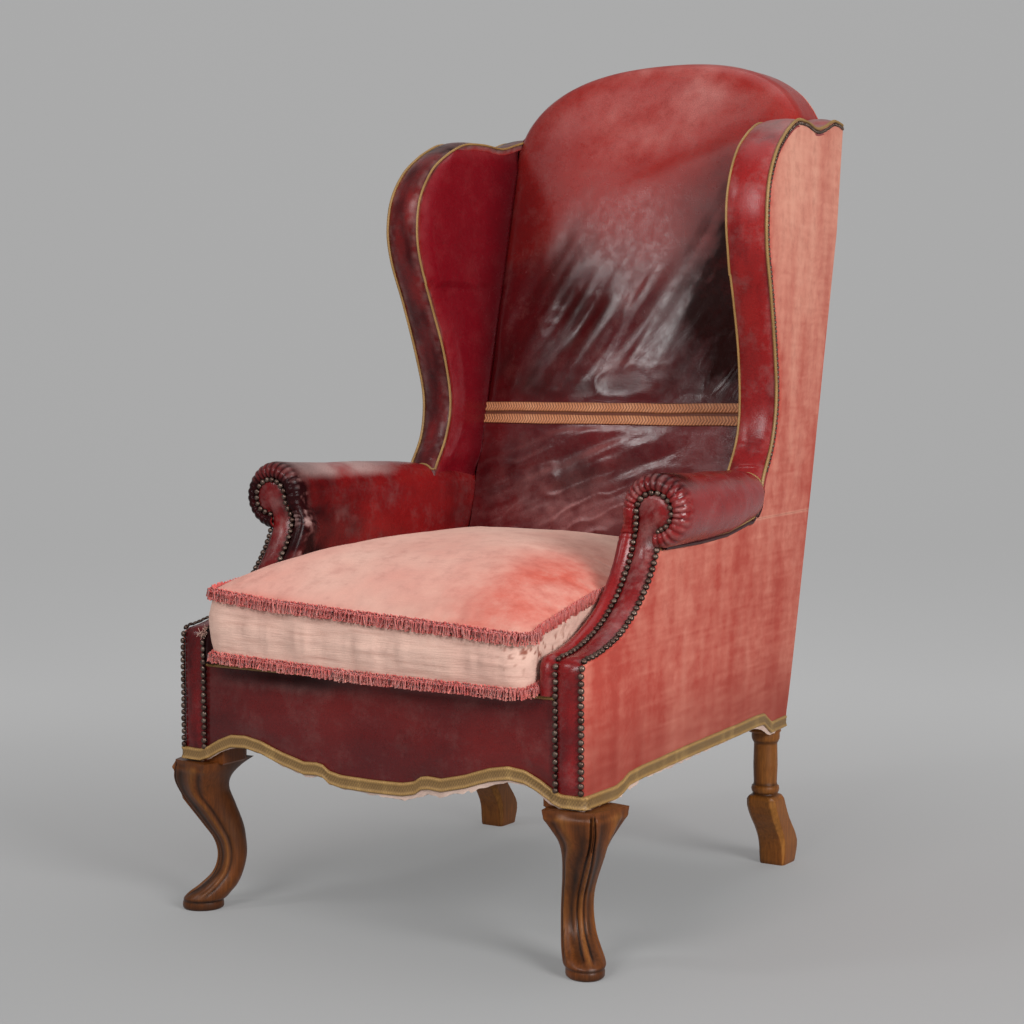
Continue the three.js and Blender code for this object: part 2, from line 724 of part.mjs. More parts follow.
function armSection(cx, cz, r) {
  const arc = [];
  for (let degrees = 180; degrees >= -70; degrees -= 25) {
    const a = THREE.MathUtils.degToRad(degrees);
    arc.push([cx + r * Math.cos(a), cz + r * Math.sin(a)]);
  }
  const tip = cz - 0.94 * r;
  const inner = cx - r;
  const [railLeft, railRight] = [cx - 19.5, cx + 3.5];
  const railLow = cz - RAIL_DROP - 0.6;
  return [
    [inner, ARM_LOW], ...arc, [railRight, tip], [railRight, cz - 5], [railLeft, cz - 5],
    [railLeft, railLow], [inner + ARM_WALL, railLow], [inner + ARM_WALL, ARM_LOW],
  ];
}

function scrollEnd() {
  const [cx, cz] = along(ROLL, ROLL[0][0]);
  const rings = ROLL_ENDS.map(([, r]) => Array.from({ length: 20 }, (_, i) => {
    const a = (2 * Math.PI * i) / 20;
    return [cx + r * Math.cos(a), cz + r * Math.sin(a)];
  }));
  return loft(rings, (x, z, i) => [x, ROLL_ENDS[i][0], z]);
}

function armPad() {
  const stations = ROLL.map(([y]) => y);
  const outlines = ROLL.map(([, cx, cz, r]) => armSection(cx, cz, r));
  const roll = loft(outlines, (x, z, i) => [x, stations[i], z]);
  const cz = along(ROLL, stations[0])[1];
  const face = armFront(DECK_TOP + 2);
  const inner = moved(face, 24).map(([y, z]) => [y, Math.max(z, DECK_TOP + 2)]);
  const frontStrip = sidePlate(
    [...face, [-204, cz], [-180, cz], ...inner.reverse()],
    ARM_INSIDE, FACING_INNER - GAP,
  );
  const behindStrip = [
    [-386, DECK_TOP + 2], [-386, 394], [-330, 408], [-280, 430], [-235, 472], [-206, 530],
    [-200, 560], [-190, DECK_TOP + 2],
  ];
  const wall = sidePlate(behindStrip, ARM_INSIDE, ARM_INSIDE + ARM_WALL + 6);
  const neck = [FACING_INNER - GAP, FACING_OUTER + GAP];
  const neckRoom = box(neck, [-260, ARM_RAIL_FRONT - 1], [480, cz + 2]);
  const headRoom = new THREE.CylinderGeometry(LOBE_RADIUS + 0.8, LOBE_RADIUS + 0.8, 60, 24);
  headRoom.translate(LOBE_CENTRE.x, SCROLL_FRONT + 6 - 30, LOBE_CENTRE.y);
  return cut(joined(roll, scrollEnd(), frontStrip, wall), neckRoom, headRoom);
}

// Leather facing: a strip up the post and sweep, ending in a round scroll head.
function armFacing() {
  const front = armFront(BRAID_BOTTOM + 1);
  const back = moved(front, FACING_THICK);
  const upright = sidePlate([...front, ...back.reverse()], FACING_INNER, FACING_OUTER);
  const head = new THREE.CylinderGeometry(LOBE_RADIUS, LOBE_RADIUS, 8, 24);
  head.translate(LOBE_CENTRE.x, SCROLL_FRONT + 1, LOBE_CENTRE.y);
  const neck = box([FACING_INNER, FACING_OUTER], [SCROLL_FRONT - 3, -207], [545, 572]);
  return joined(upright, head, neck);
}
addPair('arm_facing', armFacing(), LEATHER_RED);
addPair('arm_pad', armPad(), LEATHER_RED);

// ---------------------------------------------------------------- wing upholstery

// The outline part of the way from the inside line to the outside line of a wing.
function wingBetween(t) {
  return WING_INNER.map((p, i) => [0, 1].map((k) => lerp(p[k], WING_OUTER[i][k], t)));
}
const PAD_INSET = WING_BAND + 2.5;
const padRows = (t) => wingRows(wingBetween(t), PAD_INSET, WING_BOTTOM + 1, (z) => postFront(z) - GAP);
addPair(
  'wing_pad',
  sheet(padRows(0), wingInnerX, (y, z) => timberX(y, z) - WING_TIMBER - 0.8, padRows(0.75)),
  LEATHER_RED,
);

// Border strip: runs from the inside line to the outside line of the wing.
function wingBorder() {
  const outerIn = moved(WING_OUTER, WING_BAND);
  const innerIn = moved(WING_INNER, WING_BAND);
  const sections = WING_OUTER.map((outer, i) => {
    const inner = WING_INNER[i];
    const far = (p) => sideX(p[0], p[1]) - COVER - GAP;
    const near = (p) => wingInnerX(p[0], p[1]);
    return [
      [near(inner), ...inner], [far(outer), ...outer],
      [far(outerIn[i]), ...outerIn[i]], [near(innerIn[i]), ...innerIn[i]],
    ];
  }).filter((section) => section.every(([, y, z]) => y < rearY(z) - COVER - 3));
  return strip(sections);
}
addPair('wing_border', wingBorder(), LEATHER_RED);

// ---------------------------------------------------------------- front and outside covers

add(
  'front_rail_leather',
  rakedPlate(
    shapedAcross(FACING_INNER - 1, DECK_TOP - 2, 1),
    () => SEAT_FRONT,
    () => FRONT_RAIL[0] - GAP,
  ),
  LEATHER_DARK,
);

const ARM_UNDER_ROLL = [-214, 527]; // where the facing, the cover and the roll meet

// Rows of points from the shaped lower edge up to the underside of the arm roll.
function outsideArmRows() {
  const rear = (z) => rearY(z) - 3;
  const low = SIDE_EDGE.map(([y, z]) => [Math.min(y, rear(z)), z + 1]);
  const underRoll = (y) => {
    const [, cz, r] = along(ROLL, y);
    return y > 70 ? COVER_SEAM : Math.min(cz - r - 1, COVER_SEAM);
  };
  const topDepths = [-170, -135, -99, -50, -8, 30, 62, 90, 180];
  const front = [...armFront(BRAID_BOTTOM + 1), ARM_UNDER_ROLL].filter(([, z]) => z <= ARM_UNDER_ROLL[1]);
  front.splice(1, 0, [SEAT_FRONT, 248], [SEAT_FRONT, 320]);
  const top = [ARM_UNDER_ROLL, ...topDepths.map((y) => [y, underRoll(y)]), [rear(COVER_SEAM), COVER_SEAM]];
  const rise = ARM_UNDER_ROLL[1] - front[0][1];
  const back = front.map(([, z]) => {
    const t = (z - front[0][1]) / rise;
    return [0, 1].map((k) => lerp(low[low.length - 1][k], top[top.length - 1][k], t));
  });
  return patch(low, top, front, back);
}
const coverNear = (y, z) => sideX(y, z) - COVER;
addPair('outside_arm_cover', sheet(outsideArmRows(), coverNear, sideX), VELVET);

function outsideWing() {
  const base = WING_BOTTOM + 1;
  const rear = (z) => rearY(z) - 3;
  const upper = wingRows(WING_OUTER, 0.5, base, rear);
  const lowFront = ARM_END + 5;
  const first = upper[0];
  const lower = [COVER_SEAM + GAP, 580].map((z) => straight([lowFront, z], [rear(z), z], first.length - 1));
  return sheet([...lower, ...upper], coverNear, sideX);
}
addPair('outside_wing_cover', outsideWing(), VELVET);

function outsideBack() {
  const side = (z) => sideX(rearY(z), z);
  const levels = [BRAID_BOTTOM + 1, 300, 400, 520, 640, 760, 880, 1000, 1143];
  const right = levels.map((z) => [side(z), z]);
  const left = right.map(([x, z]) => [-x, z]).reverse();
  const top = fullArch(0).reverse().filter(([, z]) => z > 1150);
  return rakedPlate(shapeOf([...right, ...top, ...left]), (z) => rearY(z) - COVER, rearY);
}
add('outside_back_cover', outsideBack(), VELVET);

// ---------------------------------------------------------------- braid round the foot of the covers

const BRAID_STAND = 1; // braid clear of the cover
const BRAID_THICK = 2.4;

function baseBraid() {
  const ys = straight([rearY(BRAID_BOTTOM), 0], [SEAT_FRONT + 2, 0], 20).map(([y]) => y);
  const xs = straight([-FRONT_HALF, 0], [FRONT_HALF, 0], 32).map(([x]) => x);
  const across = (x) => {
    const out = Math.abs(x) === FRONT_HALF ? Math.sign(x) * 0.7 : 0;
    return [x, SEAT_FRONT, frontEdge(x), [out, -1]];
  };
  const beside = (side) => (y) => [side * sideX(y, sideEdge(y) + BRAID_HEIGHT), y, sideEdge(y), [side, 0]];
  const plan = [...ys.map(beside(-1)), ...xs.map(across), ...ys.reverse().map(beside(1))];
  return strip(plan.map(([x, y, z, out]) => {
    const near = [x + out[0] * BRAID_STAND, y + out[1] * BRAID_STAND];
    const far = near.map((v, k) => v + out[k] * BRAID_THICK);
    return [[...near, z], [...near, z + BRAID_HEIGHT], [...far, z + BRAID_HEIGHT], [...far, z]];
  }));
}
add('base_braid', baseBraid(), GILT_BRAID);

// ---------------------------------------------------------------- loose cushion

function cushionHalf(y) {
  return along([[CUSHION_FRONT, 257], [-300, 257], [-100, 252], [40, 248], [CUSHION_BACK, 240]], y)[0];
}

// Seam height round the top of the cushion: low at the right front corner.
function seamTop(x, y) {
  const front = lerp(462, 436, clamp01((x + 257) / 514));
  return lerp(front, 482, smooth((y - CUSHION_FRONT) / 260));
}
const CUSHION_LOW = DECK_TOP + 1;

function cushion() {
  const n = 12;
  const points = [];
  for (const level of [0, 1]) {
    for (let i = 0; i <= n; i += 1) {
      for (let j = 0; j <= n; j += 1) {
        const u = 2 * (i / n) - 1;
        const v = j / n;
        const y = lerp(CUSHION_FRONT, CUSHION_BACK, v);
        const x = u * cushionHalf(y);
        const dome = (1 - u ** 4) * (1 - (2 * v - 1) ** 4);
        const seam = seamTop(x, y);
        points.push([x, y, level ? lerp(seam, CUSHION_CROWN, dome) : CUSHION_LOW]);
      }
    }
  }
  const across = n + 1;
  const half = across * across;
  const triangles = [];
  for (let i = 0; i < n; i += 1) {
    for (let j = 0; j < n; j += 1) {
      const a = i * across + j;
      const [b, c, d] = [a + 1, a + across + 1, a + across];
      triangles.push([a, c, b], [a, d, c], [half + a, half + b, half + c], [half + a, half + c, half + d]);
    }
  }
  const rim = [];
  for (let j = 0; j < n; j += 1) rim.push(j);
  for (let i = 0; i < n; i += 1) rim.push(i * across + n);
  for (let j = n; j > 0; j -= 1) rim.push(n * across + j);
  for (let i = n; i > 0; i -= 1) rim.push(i * across);
  rim.forEach((a, k) => {
    const b = rim[(k + 1) % rim.length];
    triangles.push([a, b, half + b], [a, half + b, half + a]);
  });
  return body(points, triangles);
}
add('seat_cushion', cushion(), CUSHION_VELVET);

// A band that runs round the cushion just outside it.
function fringe(height, tall) {
  const n = 10;
  const round = [];
  const side = (y) => cushionHalf(y) + 0.6;
  for (let i = 0; i < n; i += 1) {
    const x = lerp(-1, 1, i / n) * side(CUSHION_FRONT);
    round.push([x, CUSHION_FRONT - 0.6, i === 0 ? -1 : 0, -1]);
  }
  for (let i = 0; i < n; i += 1) {
    const y = lerp(CUSHION_FRONT - 0.6, CUSHION_BACK + 0.6, i / n);
    round.push([side(y), y, 1, i === 0 ? -1 : 0]);
  }
  for (let i = 0; i < n; i += 1) {
    const x = lerp(1, -1, i / n) * side(CUSHION_BACK);
    round.push([x, CUSHION_BACK + 0.6, i === 0 ? 1 : 0, 1]);
  }
  for (let i = 0; i < n; i += 1) {
    const y = lerp(CUSHION_BACK + 0.6, CUSHION_FRONT - 0.6, i / n);
    round.push([-side(y), y, -1, i === 0 ? 1 : 0]);
  }
  return ring(round.map(([x, y, nx, ny]) => {
    const depth = y < CUSHION_FRONT ? FRINGE_REACH : 4;
    const z = height(x, y);
    const far = [x + nx * 4, y + ny * depth];
    return [[x, y, z - tall], [x, y, z], [...far, z], [...far, z - tall]];
  }));
}
add('cushion_fringe_top', fringe((x, y) => seamTop(x, y) + 2, FRINGE), CORAL_FRINGE);
add('cushion_fringe_bottom', fringe(() => CUSHION_LOW + FRINGE, FRINGE - 1), CORAL_FRINGE);

export default chair;
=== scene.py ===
"""Looks of a worn wing armchair: leather inside, faded velvet outside, loose fringed cushion."""

import itertools
import logging
import math
from collections.abc import Callable, Sequence
from dataclasses import dataclass
from enum import Enum

import bmesh
import bpy
import numpy as np
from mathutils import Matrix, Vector


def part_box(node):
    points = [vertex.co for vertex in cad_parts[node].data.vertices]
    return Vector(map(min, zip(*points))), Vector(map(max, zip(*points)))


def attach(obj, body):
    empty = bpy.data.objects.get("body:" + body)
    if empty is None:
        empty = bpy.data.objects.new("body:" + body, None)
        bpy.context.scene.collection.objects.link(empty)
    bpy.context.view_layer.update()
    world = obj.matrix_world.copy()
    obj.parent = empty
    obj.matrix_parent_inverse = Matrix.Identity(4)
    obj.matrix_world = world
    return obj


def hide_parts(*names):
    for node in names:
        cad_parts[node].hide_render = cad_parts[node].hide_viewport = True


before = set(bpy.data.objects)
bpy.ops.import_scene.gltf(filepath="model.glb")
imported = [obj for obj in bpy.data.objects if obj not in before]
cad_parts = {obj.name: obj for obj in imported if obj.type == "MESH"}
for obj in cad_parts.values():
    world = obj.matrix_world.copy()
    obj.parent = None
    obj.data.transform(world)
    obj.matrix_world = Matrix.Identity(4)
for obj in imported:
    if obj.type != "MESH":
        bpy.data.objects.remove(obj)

Array = np.ndarray
Points = Sequence[Sequence[float]]
Pair = tuple[float, float]
Triple = tuple[float, float, float]
Colour = tuple[float, float, float, float]
Material = bpy.types.Material
Piece = bpy.types.Object
log = logging.getLogger("wing_armchair")

MM = 0.001  # every size below is in millimetres, and the scene is in metres


class Side(Enum):
    """Side of the chair, as seen by someone who faces it."""

    RIGHT = 1
    LEFT = -1


class Slot(Enum):
    """Material slots of the part's record."""

    WALNUT = "walnut"
    BEECH = "beech"
    STEEL = "spring_steel"
    JUTE = "jute"
    HORSEHAIR = "horsehair"
    LINEN = "black_linen"
    RED_LEATHER = "red_leather"
    DARK_LEATHER = "dark_leather"
    VELVET = "velvet"
    CUSHION = "cushion_velvet"
    GILT = "gilt_braid"
    CORAL = "coral_fringe"
    BRASS = "antique_brass"


# ---- numbers


def srgb(code: str) -> Colour:
    """Turns an sRGB hex colour into a linear one.

    Args:
        code: Six hex digits after a hash sign.

    Returns:
        Linear red, green and blue, and an alpha of 1.
    """
    parts = [int(code[i : i + 2], 16) / 255 for i in (1, 3, 5)]
    linear = [c / 12.92 if c <= 0.04045 else ((c + 0.055) / 1.055) ** 2.4 for c in parts]
    return (linear[0], linear[1], linear[2], 1.0)


def smooth(t: Array | float) -> Array:
    """Smooth step from 0 to 1 as t goes from 0 to 1."""
    c = np.clip(t, 0.0, 1.0)
    return c * c * (3 - 2 * c)


def stacked(*parts: Array | float) -> Array:
    """Arrays of one shape, or numbers, side by side along a new last axis."""
    return np.stack(np.broadcast_arrays(*parts), -1)


def mix(a: Array | float, b: Array | float, t: Array | float) -> Array:
    """Value part of the way from a to b."""
    return a + (b - a) * t


def spot(u: Array, v: Array, centre: Pair, size: Pair, turn: float = 0.0) -> Array:
    """Soft oval patch.

    Args:
        u: First coordinate of each point, in millimetres.
        v: Second coordinate of each point.
        centre: Middle of the patch.
        size: Half widths of the patch.
        turn: Degrees the patch is turned anticlockwise.

    Returns:
        1 at the middle, falling to 0 outside.
    """
    c, s = math.cos(math.radians(turn)), math.sin(math.radians(turn))
    du, dv = u - centre[0], v - centre[1]
    a = (du * c + dv * s) / size[0]
    b = (dv * c - du * s) / size[1]
    return np.exp(-(a * a + b * b))


def patches(u: Array, v: Array, rows: Points) -> Array:
    """Sum of soft oval patches, each given as strength, middle, half widths and turn."""
    return sum(row[0] * spot(u, v, row[1:3], row[3:5], *row[5:]) for row in rows)


def hashed(cell: Array, seed: int) -> Array:
    """Repeatable number from -1 to 1 for each whole-number cell."""
    full = np.uint64(0xFFFFFFFF)
    parts = cell.astype(np.int64).astype(np.uint64) & full
    n = (parts[..., 0] * np.uint64(73856093)) & full
    n ^= (parts[..., 1] * np.uint64(19349663)) & full
    n ^= (parts[..., 2] * np.uint64(83492791)) & full
    n ^= np.uint64(seed * 2654435761 & 0xFFFFFFFF)
    n = ((n ^ (n >> np.uint64(15))) * np.uint64(2246822519)) & full
    n = ((n ^ (n >> np.uint64(13))) * np.uint64(3266489917)) & full
    n ^= n >> np.uint64(16)
    return n.astype(float) / float(full) * 2 - 1


def value_noise(p: Array, seed: int) -> Array:
    """Smooth noise from -1 to 1 with cells one unit wide."""
    base = np.floor(p)
    f = p - base
    w = f * f * f * (f * (f * 6 - 15) + 10)
    total = np.zeros(p.shape[:-1])
    for corner in itertools.product((0, 1), repeat=3):
        share = np.prod(np.where(np.array(corner) == 1, w, 1 - w), axis=-1)
        total += share * hashed(base + np.array(corner), seed)
    return total


def cloud(p: Array, size: float | Triple, seed: int, octaves: int = 3) -> Array:
    """Layered noise.

    Args:
        p: Points, in millimetres, with x, y and z along the last axis.
        size: Width of the largest blobs, in millimetres, one for all or one for each axis.
        seed: Which noise.
        octaves: How many layers, each half the size of the one before.

    Returns:
        Noise from about -1 to 1.
    """
    scaled = p / np.array(size, float)
    total = np.zeros(p.shape[:-1])
    for k in range(octaves):
        total += value_noise(scaled * 2.0**k, seed + 17 * k) * 0.5**k
    return total / (2 - 0.5 ** (octaves - 1))


def creases(p: Array, size: float | Triple, seed: int, octaves: int = 3) -> Array:
    """Noise with sharp folds: 1 along thin lines and near 0 between them."""
    return np.clip(1 - np.abs(cloud(p, size, seed, octaves)) * 3.2, 0, 1) ** 1.5


def reading(table: Points, at: Array | float, column: int = 1) -> Array:
    """Number in a column of a table of sizes, at a value of its first column."""
    line = np.array(table, float)
    return np.interp(at, line[:, 0], line[:, column])


def aslant(x: Array, z: Array, along: float, across: float) -> Array:
    """Points of an upright face, turned in its plane so that a pattern runs aslant."""
    return stacked(x * along + z * across, 0.0, z * along - x * across)


# ---- lines and grids


def run_of(path: Array) -> Array:
    """Distance along the path at each of its points."""
    return np.r_[0, np.cumsum(np.linalg.norm(np.diff(path, axis=0), axis=1))]


def heading(path: Array) -> Array:
    """Unit direction of the path at each of its points."""
    ahead = np.gradient(path, axis=0)
    return ahead / (np.linalg.norm(ahead, axis=1, keepdims=True) + 1e-9)


def sample(at: Array, run: Array, path: Array) -> Array:
    """Points of the path at given distances along it."""
    return np.stack([np.interp(at, run, path[:, k]) for k in range(path.shape[1])], 1)


def even(path: Array, count: int) -> Array:
    """The path cut again into count points an equal distance apart."""
    run = run_of(path)
    return sample(np.linspace(0, run[-1], count), run, path)


def length_of(path: Array) -> float:
    """Length of a path."""
    return float(np.linalg.norm(np.diff(path, axis=0), axis=1).sum())


def through(points: Points, count: int) -> Array:
    """Evenly spaced points on the smooth curve through the given ones.

    Args:
        points: Points that the curve passes through.
        count: How many points to return.

    Returns:
        Array of count points.
    """
    p = np.array(points, float)
    padded = np.vstack([p[:1], p, p[-1:]])
    t = np.linspace(0, 1, 24, endpoint=False)[:, None]
    runs = []
    for a, b, c, d in zip(padded, padded[1:], padded[2:], padded[3:]):
        near, far = (c - a) * 0.5, (d - b) * 0.5
        square, cube = 3 * (c - b) - 2 * near - far, 2 * (b - c) + near + far
        runs.append(b + near * t + square * t**2 + cube * t**3)
    return even(np.vstack([*runs, p[-1:]]), count)


def bezier(a: Points, count: int) -> Array:
    """Points on the Bezier curve with three or four control points."""
    p = np.array(a, float)
    t = np.linspace(0, 1, count)[:, None]
    if len(p) == 3:
        return (1 - t) ** 2 * p[0] + 2 * (1 - t) * t * p[1] + t**2 * p[2]
    return (1 - t) ** 3 * p[0] + 3 * (1 - t) ** 2 * t * p[1] + 3 * (1 - t) * t**2 * p[2] + t**3 * p[3]


def moved(path: Array, by: float) -> Array:
    """The flat path moved sideways, to its right as it is followed when by is positive."""
    ahead = heading(path)
    return path + np.stack([ahead[:, 1], -ahead[:, 0]], 1) * by


def coons(bottom: Array, top: Array, front: Array, back: Array) -> Array:
    """Grid that fills the patch between four edges.

    Args:
        bottom: Points from front to back along the first row.
        top: Points from front to back along the last row.
        front: Points from bottom to top along the first column.
        back: Points from bottom to top along the last column.

    Returns:
        Array of rows, columns and coordinates.
    """
    s = np.linspace(0, 1, len(bottom))[None, :, None]
    t = np.linspace(0, 1, len(front))[:, None, None]
    ruled = mix(bottom[None], top[None], t) + mix(front[:, None], back[:, None], s)
    corners = mix(mix(bottom[0], bottom[-1], s), mix(top[0], top[-1], s), t)
    return ruled - corners


def in_from_front(grid: Array) -> Array:
    """Distance of each point of a grid from its first column, along its row."""
    steps = np.linalg.norm(np.diff(grid, axis=1), axis=-1).cumsum(1)
    return np.hstack([np.zeros((len(grid), 1)), steps])


def facing_out(grid: Array, towards: Points) -> Array:
    """Unit normals of a grid, on the side of the direction given."""
    n = np.cross(np.gradient(grid, axis=0), np.gradient(grid, axis=1))
    n /= np.linalg.norm(n, axis=-1, keepdims=True) + 1e-9
    return n * np.where((n @ np.array(towards, float)) < 0, -1.0, 1.0)[..., None]


# ---- bodies


@dataclass
class Body:
    """Points and faces of one piece, in millimetres, with a tone of three numbers at each point."""

    points: Array
    faces: list[tuple[int, ...]]
    tone: Array

    def place(self, name: str, material: Material, slot: Slot, sharp: float = 38.0) -> Piece:
        """Makes the piece in the scene and fixes it to the chair.

        Args:
            name: Name of the piece.
            material: Its finish.
            slot: Material slot of the record that the finish belongs to; not used.
            sharp: Angle in degrees above which an edge stays sharp.

        Returns:
            The new object.
        """
        mesh = bpy.data.meshes.new(name)
        mesh.from_pydata((self.points * MM).tolist(), [], self.faces)
        solid = bmesh.new()
        solid.from_mesh(mesh)
        bmesh.ops.recalc_face_normals(solid, faces=solid.faces)
        solid.to_mesh(mesh)
        solid.free()
        tone = mesh.attributes.new("tone", "FLOAT_COLOR", "POINT")
        rgba = np.hstack([np.clip(self.tone, 0, 1), np.ones((len(self.tone), 1))])
        tone.data.foreach_set("color", rgba.astype(np.float32).ravel())
        mesh.shade_smooth()
        mesh.set_sharp_from_angle(angle=math.radians(sharp))
        mesh.materials.append(material)
        piece = bpy.data.objects.new(name, mesh)
        bpy.context.scene.collection.objects.link(piece)
        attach(piece, "root")
        log.info("%s: %d faces", name, len(mesh.polygons))
        return piece


def blank(points: Array) -> Array:
    """Tone of zero at each point."""
    return np.zeros((len(points), 3))


def shell(outer: Array, inner: Array, tone: Array | None = None) -> Body:
    """Closed thin body between a fine outside grid and an inside one with cells four times as long.

    Args:
        outer: Grid of the side that shows.
        inner: Grid of the same size on the hidden side.
        tone: Tone of each outside point, as a grid.

    Returns:
        The closed body.
    """
    step = 4
    rows, cols = outer.shape[:2]
    coarse = inner[::step, ::step]
    near = np.arange(rows * cols).reshape(rows, cols)
    far = rows * cols + np.arange(coarse.shape[0] * coarse.shape[1]).reshape(coarse.shape[:2])
    faces = [*quads(near), *(tuple(reversed(q)) for q in quads(far))]
    near_rim, far_rim = rim_of(near), rim_of(far)
    near_rim.append(near_rim[0])
    for m, a in enumerate(far_rim):
        b = far_rim[(m + 1) % len(far_rim)]
        faces.append((*reversed(near_rim[m * step : (m + 1) * step + 1]), a, b))
    points = np.vstack([outer.reshape(-1, 3), coarse.reshape(-1, 3)])
    shades = blank(points)
    if tone is not None:
        shades[: rows * cols] = tone.reshape(-1, 3)
    return Body(points, faces, shades)


def quads(index: Array) -> list[tuple[int, ...]]:
    """Four-sided faces of a grid of point numbers."""
    cells = stacked(index[:-1, :-1], index[:-1, 1:], index[1:, 1:], index[1:, :-1])
    return [tuple(c) for c in cells.reshape(-1, 4).tolist()]


def rim_of(index: Array) -> list[int]:
    """Point numbers once round the edge of a grid."""
    sides = [index[0, :-1], index[:-1, -1], index[-1, :0:-1], index[:0:-1, 0]]
    return [int(i) for i in np.concatenate(sides)]


def loft(rings: Array, tone: Array | None = None) -> Body:
    """Closed body through rings of points, with flat ends."""
    count, around = rings.shape[:2]
    index = np.arange(count * around).reshape(count, around)
    wrapped = np.hstack([index, index[:, :1]])
    faces = quads(wrapped)
    faces.append(tuple(int(i) for i in index[0][::-1]))
    faces.append(tuple(int(i) for i in index[-1]))
    points = rings.reshape(-1, 3)
    return Body(points, faces, blank(points) if tone is None else tone.reshape(-1, 3))


def tube(path: Array, radius: float | Array, sides: int = 8, tone: Array | None = None) -> Body:
    """Round cord along a path.

    Args:
        path: Points along the middle of the cord.
        radius: Radius, one number or one for each point.
        sides: Points round the cord.
        tone: Tone of each point of the path.

    Returns:
        The closed body.
    """
    ahead = heading(path)
    across = np.zeros_like(ahead)
    guide = np.cross(ahead[0], (0.31, 0.67, 0.55))
    for i, direction in enumerate(ahead):
        guide = guide - direction * (guide @ direction)
        guide = guide / np.linalg.norm(guide)
        across[i] = guide
    other = np.cross(ahead, across)
    angle = np.linspace(0, 2 * math.pi, sides, endpoint=False)[None, :, None]
    wide = np.broadcast_to(radius, (len(path),))[:, None, None]
    rings = path[:, None] + wide * (across[:, None] * np.cos(angle) + other[:, None] * np.sin(angle))
    shades = None if tone is None else np.repeat(tone[:, None], sides, 1)
    return loft(rings, shades)


def together(bodies: Sequence[Body]) -> Body:
    """Many bodies as one mesh."""
    shift = 0
    faces: list[tuple[int, ...]] = []
    for body in bodies:
        faces.extend(tuple(i + shift for i in f) for f in body.faces)
        shift += len(body.points)
    return Body(np.vstack([b.points for b in bodies]), faces, np.vstack([b.tone for b in bodies]))


def flip(points: Array, side: Side) -> Array:
    """Points built for the right side, moved to the side given."""
    return points * np.array([side.value, 1.0, 1.0])


# ---- shape of the chair


